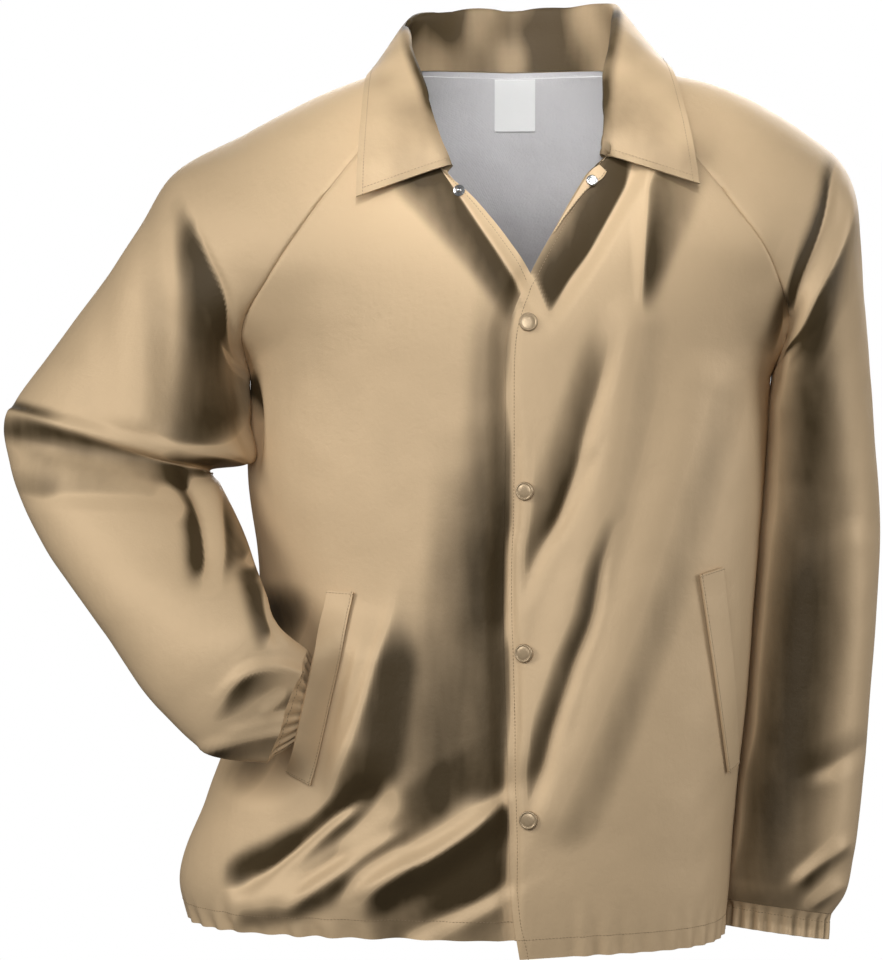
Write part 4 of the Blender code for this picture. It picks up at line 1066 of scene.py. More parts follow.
    def build(self) -> dict[str, Skin]:
        """Makes the panels' skins.

        Returns:
            Skins by panel name.
        """
        rows = np.concatenate([self.body_v, self.raglan_v[1:]])
        grids = {"back": self.back_grid(rows)}
        for side in Side:
            grids["front_" + side.value] = self.front_grid(side, rows)
            grids["sleeve_" + side.value] = self.sleeve_grid(side)
        grids = {name: self.eased(name, grid) for name, grid in grids.items()}
        normals = self.shared_normals(grids)
        shifts, tones = {}, {}
        for name, grid in grids.items():
            arm = name.startswith("sleeve")
            folds, painted_shading = self.folded(grid, normals[name], Cloth.ARM if arm else Cloth.BODY)
            tones[name] = self.lean(grid, normals[name], folds, painted_shading)
            offset = folds + sum(noise.at(grid) for noise in self.crumple)
            offset += self.seam_draw(name, grid, len(self.arm_t) if arm else 0)
            offset += self.bulge(name, grid, normals[name]) if arm else self.gathers(grid)
            if name == "front_right":
                offset -= self.lap(grid)
            shifts[name] = normals[name] * offset[..., None]
        self.tie(grids, shifts)
        moved = {name: grid + shifts[name] for name, grid in grids.items()}
        facing = self.shared_normals(moved)
        for name, grid in moved.items():
            tied = len(self.arm_t) + 1 if name.startswith("sleeve") else 0
            if tied:
                ends = unit(facing[name][: tied - 1, 0] + facing[name][: tied - 1, -1])
                facing[name][: tied - 1, 0] = ends
                facing[name][: tied - 1, -1] = ends
            parted = self.parted(name, grid, facing[name], tied)
            self.skins[name] = Skin(parted, facing[name], tones[name], tied)
        return self.skins

    def parted(self, name: str, grid: Array, normals: Array, tied: int) -> Array:
        """The grid with its seam columns drawn back by half of the seam gap.

        Args:
            name: the panel.
            grid: its points.
            normals: their normals.
            tied: how many first rows are rings.

        Returns:
            The drawn grid.
        """
        result = grid.copy()
        start = max(tied - 1, 0)
        ends = {"front_right": (0,), "front_left": (-1,)}.get(name, (0, -1))
        for column in ends:
            inner = 1 if column == 0 else -2
            inward = unit(grid[:, inner] - grid[:, column])
            if tied:
                inward[start] = -normals[start, column] * self.gap_sink
            result[start:, column] += self.gap_share * self.seam_gap * inward[start:]
        return result


class Workshop:
    """Makes Blender meshes and links them into the scene as pieces hung on the jacket's root."""

    @staticmethod
    def shell(name: str, skin: Skin, inner: Array, materials: list) -> Mesh:
        """A closed wall with an outer and an inner side.

        Args:
            name: name of the mesh.
            skin: the outer side.
            inner: points of the inner side.
            materials: the outer and the inner material.

        Returns:
            The mesh, with metric UVs and the painted light and shade of its folds.
        """
        rows, columns = skin.grid.shape[:2]
        index = np.arange(rows * columns).reshape(rows, columns)
        index[: skin.tied, -1] = index[: skin.tied, 0]
        corners = [index[:-1, :-1], index[:-1, 1:], index[1:, 1:], index[1:, :-1]]
        quads = np.stack(corners, axis=-1).reshape(-1, 4)
        count = rows * columns
        edges = np.concatenate([quads[:, [i, (i + 1) % 4]] for i in range(4)])
        keys = edges[:, 0] * count + edges[:, 1]
        free = edges[~np.isin(edges[:, 1] * count + edges[:, 0], keys)]
        rim = np.stack([free[:, 1], free[:, 0], free[:, 0] + count, free[:, 1] + count], axis=-1)
        faces = np.concatenate([quads, quads[:, ::-1] + count, rim])
        points = np.concatenate([skin.grid.reshape(-1, 3), inner.reshape(-1, 3)])
        across, up = run_lengths(skin.grid, 1), run_lengths(skin.grid, 0)
        flat = np.stack([across, up], axis=-1).reshape(-1, 2)
        used, faces = np.unique(faces, return_inverse=True)
        faces = faces.reshape(-1, 4)
        mesh = bpy.data.meshes.new(name)
        mesh.from_pydata(points[used].tolist(), [], faces.tolist())
        # Painted light and shade, kept on the points for the material to colour by.
        tone = mesh.attributes.new("painted_fold_shading", "FLOAT", "POINT")
        tone.data.foreach_set("value", np.tile(skin.tone.ravel(), 2)[used].astype(np.float32))
        layer = mesh.uv_layers.new(name="cloth")
        loops = np.empty(len(mesh.loops), np.int32)
        mesh.loops.foreach_get("vertex_index", loops)
        layer.data.foreach_set("uv", np.tile(flat, (2, 1))[used][loops].astype(np.float32).ravel())
        sides = np.zeros(len(faces), np.int32)
        sides[len(quads) : 2 * len(quads)] = len(materials) - 1
        for material in materials:
            mesh.materials.append(material)
        mesh.polygons.foreach_set("material_index", sides)
        mesh.polygons.foreach_set("use_smooth", np.ones(len(faces), bool))
        mesh.set_sharp_from_angle(angle=math.radians(CLOTH_SHARP))
        mesh.update()
        return mesh

    @staticmethod
    def piece(name: str, mesh: Mesh, slot: Slot, *nodes: str) -> Object:
        """Adds a piece that rides on the jacket and stands for CAD nodes.

        Args:
            name: name of the piece.
            mesh: its mesh, already in place.
            slot: the record's slot; not used.
            nodes: CAD nodes that it stands for.

        Returns:
            The new object.
        """
        thing = bpy.data.objects.new(name, mesh)
        bpy.context.scene.collection.objects.link(thing)
        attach(thing, "root")
        if nodes:
            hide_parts(*nodes)
        LOG.info("%s: %d faces", name, len(mesh.polygons))
        return thing

    @staticmethod
    def tree(*things: Object) -> BVHTree:
        """A search tree over the faces of pieces.

        Args:
            things: the pieces.

        Returns:
            The tree.
        """
        points: list = []
        faces: list = []
        for thing in things:
            base = len(points)
            points += [v.co.copy() for v in thing.data.vertices]
            faces += [[base + i for i in face.vertices] for face in thing.data.polygons]
        return BVHTree.FromPolygons(points, faces)

    @staticmethod
    def onto(tree: BVHTree, x: float, z: float, start_y: float) -> tuple[Array, Array] | None:
        """Where a line to the back at x and z first meets a surface.

        Args:
            tree: the surface.
            x, z: place seen from the front.
            start_y: where the line starts.

        Returns:
            The point and its normal towards the start, or None.
        """
        hit, normal, _, _ = tree.ray_cast(Vector((x, start_y, z)), Vector((0.0, 1.0, 0.0)))
        if hit is None:
            return None
        return np.array(hit), np.array(-normal if normal.y > 0 else normal)


class NodeMaker:
    """Short ways to add nodes and links to a tree."""

    def __init__(self, tree: NodeTree) -> None:
        """Keeps the tree."""
        self.tree = tree

    def add(self, kind: str, **values: object) -> Node:
        """A new node with some of its properties set.

        Args:
            kind: the node's type.
            values: its properties by name.

        Returns:
            The node.
        """
        node = self.tree.nodes.new(kind)
        for name, value in values.items():
            setattr(node, name, value)
        return node

    def link(self, source: NodeSocket, target: NodeSocket) -> None:
        """Joins two sockets."""
        self.tree.links.new(source, target)

    def math(self, operation: str, first: object, second: object = 0.0) -> NodeSocket:
        """A math node; each operand is a socket or a number.

        Args:
            operation: Blender's name of the operation.
            first: first operand.
            second: second operand.

        Returns:
            The result's socket.
        """
        node = self.add("ShaderNodeMath", operation=operation)
        for socket, value in zip(node.inputs, (first, second)):
            if isinstance(value, NodeSocket):
                self.link(value, socket)
            else:
                socket.default_value = value
        return node.outputs[0]

    def noise(self, vector: NodeSocket, scale: float, detail: float, rough: float) -> object:
        """A noise texture's value.

        Args:
            vector: where it is looked up.
            scale, detail, rough: its settings.

        Returns:
            The value's socket.
        """
        node = self.add("ShaderNodeTexNoise")
        self.link(vector, node.inputs["Vector"])
        for name, value in (("Scale", scale), ("Detail", detail), ("Roughness", rough)):
            node.inputs[name].default_value = value
        return node.outputs["Fac"]

    def mixed(self, share: NodeSocket, first: tuple, second: tuple) -> NodeSocket:
        """A colour from the first (share 0) to the second (share 1).

        Args:
            share: how far from the first to the second.
            first, second: the colours.

        Returns:
            The colour's socket.
        """
        node = self.add("ShaderNodeMix", data_type="RGBA", clamp_factor=True)
        self.link(share, node.inputs[0])
        node.inputs[6].default_value = (*first, 1.0)
        node.inputs[7].default_value = (*second, 1.0)
        return node.outputs[2]

    def bumped(self, height: NodeSocket) -> NodeSocket:
        """A normal from a height in metres.

        Args:
            height: the height's socket.

        Returns:
            The normal's socket.
        """
        node = self.add("ShaderNodeBump")
        node.inputs["Strength"].default_value = 1.0
        node.inputs["Distance"].default_value = 1.0
        self.link(height, node.inputs["Height"])
        return node.outputs["Normal"]


def new_material(name: str) -> tuple[Material, NodeMaker, NodeInputs]:
    """A new material, a maker for its nodes and the inputs of its shader."""
    material = bpy.data.materials.new(name)
    material.use_nodes = True
    return material, NodeMaker(material.node_tree), material.node_tree.nodes["Principled BSDF"].inputs


class ClothEffects:
    """Shader node groups that several cloths share."""

    def __init__(self) -> None:
        """Builds the groups once."""
        self.weave = self._weave()
        self.crinkle = self._crinkle()

    @staticmethod
    def _group(name: str, inputs: dict[str, str], outputs: dict[str, str]) -> NodeTree:
        """A new shader group with named sockets.

        Args:
            name: its name.
            inputs, outputs: types of its sockets by name.

        Returns:
            The group.
        """
        group = bpy.data.node_groups.new(name, "ShaderNodeTree")
        for socket, kind in inputs.items():
            group.interface.new_socket(socket, in_out="INPUT", socket_type=kind)
        for socket, kind in outputs.items():
            group.interface.new_socket(socket, in_out="OUTPUT", socket_type=kind)
        return group

    def _weave(self) -> NodeTree:
        """Plain weave of fine threads on the cloth's own UV map.

        Returns:
            A group with the threads' height.
        """
        group = self._group("plain_weave", {"Threads": "NodeSocketFloat"}, {"Height": "NodeSocketFloat"})
        make = NodeMaker(group)
        source, sink = make.add("NodeGroupInput"), make.add("NodeGroupOutput")
        flat = make.add("ShaderNodeUVMap", uv_map="cloth")
        split = make.add("ShaderNodeSeparateXYZ")
        make.link(flat.outputs["UV"], split.inputs[0])
        waves = []
        for axis in ("X", "Y"):
            turns = make.math("MULTIPLY", split.outputs[axis], source.outputs["Threads"])
            waves.append(make.math("SINE", turns))
        make.link(make.math("MULTIPLY", waves[0], waves[1]), sink.inputs["Height"])
        return group

    def _crinkle(self) -> NodeTree:
        """Small creases and clouds of a light cloth.

        Returns:
            A group with a height, a mask of worn, clouded places and one of streaks that run down.
        """
        group = self._group(
            "soft_crinkle",
            {"Size": "NodeSocketFloat"},
            {"Height": "NodeSocketFloat", "Clouds": "NodeSocketFloat", "Streaks": "NodeSocketFloat"},
        )
        make = NodeMaker(group)
        source, sink = make.add("NodeGroupInput"), make.add("NodeGroupOutput")
        place = make.add("ShaderNodeTexCoord")
        scaled = make.add("ShaderNodeVectorMath", operation="SCALE")
        make.link(place.outputs["Object"], scaled.inputs[0])
        make.link(source.outputs["Size"], scaled.inputs["Scale"])
        broad = make.noise(scaled.outputs[0], 1.0, 3.0, 0.55)
        fine = make.noise(scaled.outputs[0], 4.5, 4.0, 0.6)
        ridged = make.math("ABSOLUTE", make.math("SUBTRACT", fine, 0.5))
        make.link(make.math("SUBTRACT", broad, make.math("MULTIPLY", ridged, 0.8)), sink.inputs["Height"])
        make.link(make.noise(scaled.outputs[0], 0.35, 5.0, 0.6), sink.inputs["Clouds"])
        drawn = make.add("ShaderNodeVectorMath", operation="MULTIPLY")
        make.link(scaled.outputs[0], drawn.inputs[0])
        drawn.inputs[1].default_value = (1.0, 1.0, 0.2)
        make.link(make.noise(drawn.outputs[0], 0.9, 3.0, 0.55), sink.inputs["Streaks"])
        return group


@dataclass(frozen=True)
class ClothFinish:
    """A woven cloth.

    Attributes:
        name: name of the material.
        lit, shaded_color: its colour in full painted light, and its colour in full painted shade.
        sheen_share, roughness: how much of it reflects like metal, and how roughly.
        threads, weave: threads to a metre, and the depth of the weave in metres.
        crinkle_size, crinkle: scale and depth of the small creases.
        nap, nap_roughness: weight and roughness of the soft nap.
        streaks, streak_relief: how strongly streaks break up the painted shade, and their depth.
        tone_gain, dark_gain: how strongly the colour follows the painted light and shade, and where streaks
            set in.
        cloud_share, cloud_rough: how strongly clouds vary the colour and the roughness.
        gloss: strength of the plain reflection.
    """

    name: str
    lit: Triple
    shaded_color: Triple
    sheen_share: float
    roughness: float
    threads: float
    weave: float
    crinkle_size: float
    crinkle: float
    nap: float
    streaks: float = 0.0
    streak_relief: float = 3.0
    tone_gain: float = 1.15
    dark_gain: float = 3.0
    cloud_share: float = 0.35
    cloud_rough: float = 0.12
    gloss: float = 0.2
    nap_roughness: float = 0.5

    def material(self, effects: ClothEffects) -> Material:
        """Builds the cloth's material.

        Args:
            effects: the shared groups.

        Returns:
            The material.
        """
        material, make, shader = new_material(self.name)
        # Painted light and shade: the points' fold shading mixes the lit colour with its shaded copy, and
        # streaks break up the shade.
        tone = make.add("ShaderNodeAttribute", attribute_name="painted_fold_shading").outputs["Fac"]
        crinkle = make.add("ShaderNodeGroup", node_tree=effects.crinkle)
        crinkle.inputs["Size"].default_value = self.crinkle_size
        weave = make.add("ShaderNodeGroup", node_tree=effects.weave)
        weave.inputs["Threads"].default_value = self.threads
        clouds = make.math("SUBTRACT", crinkle.outputs["Clouds"], 0.5)
        clouds = make.math("MULTIPLY", clouds, self.cloud_share)
        level = make.math("ADD", make.math("MULTIPLY", tone, self.tone_gain), 1.0)
        dark = make.math("MAXIMUM", make.math("MULTIPLY", tone, -self.dark_gain), 0.0)
        dark = make.math("MINIMUM", dark, 1.0)
        streaks = make.math("MULTIPLY", make.math("SUBTRACT", crinkle.outputs["Streaks"], 0.5), self.streaks)
        shade = make.math("ADD", make.math("ADD", level, clouds), make.math("MULTIPLY", streaks, dark))
        make.link(make.mixed(shade, self.shaded_color, self.lit), shader["Base Color"])
        rough = make.math("MULTIPLY", crinkle.outputs["Clouds"], self.cloud_rough)
        make.link(make.math("ADD", rough, self.roughness - self.cloud_rough / 2), shader["Roughness"])
        shader["Metallic"].default_value = self.sheen_share
        shader["Specular IOR Level"].default_value = self.gloss
        shader["Sheen Weight"].default_value = self.nap
        shader["Sheen Roughness"].default_value = self.nap_roughness
        threads = make.math("MULTIPLY", weave.outputs["Height"], self.weave)
        creases = make.math("MULTIPLY", crinkle.outputs["Height"], self.crinkle)
        drawn = make.math("MULTIPLY", streaks, self.crinkle * self.streak_relief)
        relief = make.math("ADD", make.math("ADD", threads, creases), drawn)
        make.link(make.bumped(relief), shader["Normal"])
        return material


@dataclass(frozen=True)
class HardFinish:
    """Enamel, nickel or thread.

    Attributes:
        name: name of the material.
        color: main colour.
        worn: colour of its small marks.
        metallic: share of metal.
        roughness: roughness.
        grain: scale of its marks.
        relief: depth of its marks in metres.
        mark_level, mark_gain: where the marks start, and how sharp they are.
        mark_rough: how strongly they vary the roughness.
    """

    name: str
    color: Triple
    worn: Triple
    metallic: float
    roughness: float
    grain: float
    relief: float
    mark_level: float = 0.45
    mark_gain: float = 4.0
    mark_rough: float = 0.2

    def material(self) -> Material:
        """Builds the material with small uneven marks.

        Returns:
            The material.
        """
        material, make, shader = new_material(self.name)
        place = make.add("ShaderNodeTexCoord")
        marks = make.noise(place.outputs["Object"], self.grain, 4.0, 0.6)
        share = make.math("MULTIPLY", make.math("SUBTRACT", marks, self.mark_level), self.mark_gain)
        make.link(make.mixed(share, self.color, self.worn), shader["Base Color"])
        rough = make.math("MULTIPLY", marks, self.mark_rough)
        make.link(make.math("ADD", rough, self.roughness - self.mark_rough / 2), shader["Roughness"])
        shader["Metallic"].default_value = self.metallic
        make.link(make.bumped(make.math("MULTIPLY", marks, self.relief)), shader["Normal"])
        return material


# Each cloth has a lit colour and a darker copy of it for painted shade.
SHELL_NYLON = ClothFinish(
    "tan_nylon", (0.60, 0.44, 0.268), (0.068, 0.046, 0.021), sheen_share=0.14, roughness=0.50,
    threads=7200.0, weave=0.00002, crinkle_size=24.0, crinkle=0.0005, nap=0.0, streaks=0.7,
)
INSIDE_NYLON = ClothFinish(
    "tan_nylon_inside", (0.42, 0.31, 0.19), (0.26, 0.19, 0.11), sheen_share=0.2, roughness=0.6,
    threads=7200.0, weave=0.00002, crinkle_size=24.0, crinkle=0.0006, nap=0.0,
)
GREY_LINING = ClothFinish(
    "grey_brushed_lining", (0.66, 0.647, 0.654), (0.20, 0.188, 0.188), sheen_share=0.0, roughness=0.9,
    threads=4200.0, weave=0.00006, crinkle_size=60.0, crinkle=0.0012, nap=0.35,
)
WHITE_LABEL = ClothFinish(
    "white_label", (0.92, 0.92, 0.91), (0.82, 0.82, 0.82), sheen_share=0.0, roughness=0.7,
    threads=5200.0, weave=0.00005, crinkle_size=90.0, crinkle=0.0002, nap=0.1,
)
TAN_ENAMEL = HardFinish("tan_enamel", (0.42, 0.31, 0.19), (0.36, 0.265, 0.16), 0.35, 0.32, 420.0, 0.00004)
NICKEL = HardFinish("bright_nickel", (0.78, 0.78, 0.79), (0.55, 0.55, 0.56), 1.0, 0.24, 600.0, 0.00003)
TAN_THREAD = HardFinish("tan_thread", (0.30, 0.215, 0.125), (0.22, 0.155, 0.09), 0.0, 0.6, 2600.0, 0.00005)
PALE_FLOOR = HardFinish("pale_floor", (0.86, 0.86, 0.85), (0.83, 0.83, 0.82), 0.0, 0.75, 3.0, 0.0002)


@dataclass
class Wardrobe:
    """The materials of the jacket, each built once."""

    def __post_init__(self) -> None:
        """Builds the shared groups and the materials."""
        effects = ClothEffects()
        self.shell = SHELL_NYLON.material(effects)
        self.inside = INSIDE_NYLON.material(effects)
        self.lining = GREY_LINING.material(effects)
        self.label = WHITE_LABEL.material(effects)
        self.enamel = TAN_ENAMEL.material()
        self.nickel = NICKEL.material()
        self.thread = TAN_THREAD.material()


@dataclass
class Maker:
    """Makes some of the jacket's pieces.

    Attributes:
        form: the jacket's surface.
        wardrobe: its materials.
    """

    form: JacketForm
    wardrobe: Wardrobe


@dataclass
class Panels(Maker):
    """The fronts, the back and the sleeves.

    Attributes:
        front_flat, back_flat, sleeve_flat: width and length of the flat cut, in metres.
        front_area, back_area, sleeve_area: area of the flat cut, in square metres.
    """

    front_flat: Pair = (0.35, 0.82)
    back_flat: Pair = (0.60, 0.86)
    sleeve_flat: Pair = (0.50, 0.90)
    front_area: float = 0.200
    back_area: float = 0.385
    sleeve_area: float = 0.285

    def build(self) -> dict[str, Object]:
        """Makes the five panels.

        Returns:
            The pieces by panel name.
        """
        made = {}
        for name, skin in self.form.build().items():
            inner = skin.inner(self.form.wall)
            lining = self.wardrobe.inside if name.startswith("sleeve") else self.wardrobe.lining
            mesh = Workshop.shell(name + "_cloth", skin, inner, [self.wardrobe.shell, lining])
            made[name] = Workshop.piece(name + "_cloth", mesh, Slot.SHELL, name)
        return made


@dataclass
class Cuffs(Maker):
    """The elastic cuffs.

    Attributes:
        gathers: gathers of a cuff.
        gather_steps: columns to a gather.
        rows: rows along a cuff.
        uneven_mean, uneven_depth, uneven_turns: how the gathers' heights vary round a cuff.
        painted_shading_depth: height of a gather whose crest is fully painted light and whose hollow is
            fully painted shade.
        flat: width and length of the flat cut.
    """

    gathers: int = 22
    gather_steps: int = 10
    rows: int = 12
    uneven_mean: float = 0.8
    uneven_depth: float = 0.35
    uneven_turns: tuple[int, int] = (5, 3)
    painted_shading_depth: float = 0.003
    flat: Pair = (0.27, 0.025)

    def build(self) -> dict[str, Object]:
        """Makes both cuffs, their upper edges set along the sleeves' ends.

        Returns:
            The pieces by name.
        """
        made = {}
        for side, half in self.form.halves.items():
            name = "cuff_" + side.value
            skin = self.skin(side, half.cuff)
            self.form.skins[name] = skin
            sides = [self.wardrobe.shell, self.wardrobe.inside]
            mesh = Workshop.shell(name + "_cloth", skin, skin.inner(self.form.wall), sides)
            made[name] = Workshop.piece(name + "_cloth", mesh, Slot.SHELL, name)
        return made

    def skin(self, side: Side, table: Table) -> Skin:
        """The outer side of a cuff.

        Args:
            side: the wearer's side.
            table: the cuff's rings.

        Returns:
            Its skin, from the open end to the sleeve.
        """
        half = self.gathers * self.gather_steps // 2
        t = np.linspace(1.0, 0.0, self.rows + 1)
        grid = self.form.rings(table, t, half)
        normals = grid_normals(grid)
        ends = unit(normals[:, 0] + normals[:, -1])
        normals[:, 0], normals[:, -1] = ends, ends
        angles = np.arange(2 * half + 1) * 2 * math.pi
        first, second = (np.sin(angles * turns / (2 * half)) for turns in self.uneven_turns)
        uneven = self.uneven_mean + self.uneven_depth * first * second
        waves = np.sin(angles / self.gather_steps) * uneven
        heights = table.at("gather", t)[:, None] * waves
        grid = grid + normals * heights[..., None]
        sleeve = self.form.skins["sleeve_" + side.value].grid[0]
        axis = unit(grid[0].mean(axis=0) - sleeve.mean(axis=0))
        shares, marks = np.linspace(0.0, 1.0, 2 * half + 1), np.linspace(0.0, 1.0, len(sleeve))
        edge = along(sleeve, marks, shares)
        grid = np.concatenate([grid, (edge + axis * self.form.seam_gap * 1.2)[None]])
        normals = np.concatenate([normals, normals[-1:]])
        # Painted light on the gathers' crests and painted shade in their hollows.
        tone = np.clip(np.concatenate([heights, heights[-1:] * 0]) / self.painted_shading_depth, -1, 1)
        return Skin(grid, normals, tone, len(grid))


@dataclass
class Collar(Maker):
    """The collar: a stand up from the neck seam, a roll line, and the fall on the shoulders.

    Attributes:
        wall: thickness.
        columns: columns on each half.
        stand_rows, fall_rows: rows of the two parts.
        roll_reach: how round the roll line is.
        clear: room between the fall and what it lies on.
        seam: room at the neck seam.
        fall_painted_shade: painted shade over the whole fall, which lies flat to the light.
        stand_painted_shade: how much painted shade darkens the stand.
            stand_painted_creases, crease_stretch: painted light and shade of creases on the stand, and how
                they are drawn out along each axis.
        rumple, rumple_rows: the collar's uneven lie, and the rows over which that starts.
        rumple_shading_depth: height of the uneven lie at which it is fully painted light on rises and
            painted shade in dips.
        fall_share: how much of it the fall has.
        roll_rows: rows over which the stand turns into the fall.
        flat: width and length of the flat cut.
    """

    wall: float = 0.0020
    columns: int = 72
    stand_rows: int = 12
    fall_rows: int = 24
    roll_reach: float = 0.0085
    clear: float = 0.0018
    seam: float = 0.0010
    fall_painted_shade: float = -0.2
    stand_painted_shade: float = -0.58
    stand_painted_creases: Noise = Noise(0.65, 0.030, 22)
    crease_stretch: Triple = (1.0, 1.0, 0.45)
    rumple: Noise = Noise(0.0016, 0.030, 21)
    rumple_rows: tuple[int, int] = (1, 6)
    rumple_shading_depth: float = 0.003
    fall_share: float = 0.25
    roll_rows: int = 6
    flat: Pair = (0.68, 0.115)

    def neck_line(self) -> tuple[Array, Array, Array]:
        """The neck seam from the right front end to the left: points, wall and upward directions.

        Returns:
            Those three, in that order.
        """
        points, across = [], []
        for name in ("front_right", "sleeve_right", "back", "sleeve_left", "front_left"):
            skin = self.form.skins[name]
            skip = 0 if name == "front_right" else 1
            points.append(skin.grid[-1][::-1][skip:])
            across.append(skin.normals[-1][::-1][skip:])
        line, facing = np.vstack(points), np.vstack(across)
        return line, facing, unit(np.cross(np.gradient(line, axis=0), facing))

    def sections(self) -> tuple[Array, Array, Array, Array]:
        """Feet, wall directions, roll points and edge points from the right end to the left.

        Returns:
            Those four, in that order.
        """
        line, facing, upward = self.neck_line()
        steps = np.concatenate([[0.0], np.cumsum(np.linalg.norm(np.diff(line, axis=0), axis=1))])
        middle = int(np.argmin(np.abs(line[:, 0]) + (line[:, 1] < 0)))
        s = np.linspace(0.0, 1.0, self.columns + 1)
        parts: list[list[Array]] = [[], [], [], []]
        for half, start in ((RIGHT_HALF, 0.0), (LEFT_HALF, steps[-1])):
            distance = start + (steps[middle] - start) * s
            foot, up, across = (along(values, steps, distance) for values in (line, upward, facing))
            rows = [
                foot + unit(up) * self.seam,
                unit(across) * self.wall,
                half.collar.points(s, "roll_"),
                half.collar.points(s, "edge_"),
            ]
            for part, row in zip(parts, rows):
                part.append(row if half is RIGHT_HALF else row[::-1][1:])
        foot, base, roll, edge = (np.vstack(part) for part in parts)
        return foot, base, roll, edge

    def build(self, obstacles: BVHTree) -> Object:
        """Makes the collar.

        Args:
            obstacles: what the fall lies on.

        Returns:
            The piece.
        """
        foot, base, roll, edge = self.sections()
        away = unit(edge - roll) * np.array([1.0, 1.0, 0.35])
        rise = np.linalg.norm(roll - foot, axis=1, keepdims=True)
        stand_tail = -away * np.minimum(0.25 * rise, self.roll_reach)
        stand = bezier(foot, 0.45 * (roll - foot), roll, stand_tail, self.stand_rows)
        fall = bezier(roll, away * self.roll_reach, edge, 0.35 * (roll - edge), self.fall_rows)
        hidden = np.concatenate([stand, fall[:, 1:]], axis=1).transpose(1, 0, 2)
        for spot in np.ndindex(hidden.shape[:2]):
            if spot[0] > self.stand_rows:
                hidden[spot] = self.cleared(obstacles, hidden[spot])
        normals = grid_normals(hidden)
        rows = np.arange(len(hidden))[:, None]
        rumple = self.rumple.at(hidden) * smoothstep(rows, *self.rumple_rows)
        on_stand = 1 - smoothstep(rows, self.stand_rows, self.stand_rows + self.roll_rows)
        hidden = hidden + normals * (rumple * (self.fall_share + on_stand))[..., None]
        normals = grid_normals(hidden)
        shown = hidden + self.wall * normals
        shown[0] = hidden[0] - base
        # Painted light and shade: creases painted on the stand, painted shade over the stand and the fall,
        # and light and shade that follow the uneven lie.
        creases = self.stand_painted_creases.at(hidden * self.crease_stretch)
        tone = np.clip(rumple / self.rumple_shading_depth, -1, 1) * 0.5 + self.fall_painted_shade
        skin = Skin(shown, normals, tone + (self.stand_painted_shade + creases) * on_stand)
        self.form.skins["collar"] = skin
        mesh = Workshop.shell("collar_cloth", skin, hidden, [self.wardrobe.shell, self.wardrobe.shell])
        piece = Workshop.piece("collar_cloth", mesh, Slot.SHELL, "collar")
        return piece

    def cleared(self, tree: BVHTree, point: Array) -> Array:
        """The point, moved out until it is clear of a surface.

        Args:
            tree: the surface.
            point: where it is at first.

        Returns:
            Where it ends up.
        """
        for _ in range(4):
            hit, normal, _, _ = tree.find_nearest(Vector(point))
            gap = (Vector(point) - hit).dot(normal)
            if gap >= self.clear:
                break
            point = np.array(Vector(point) + normal * (self.clear - gap))
        return point


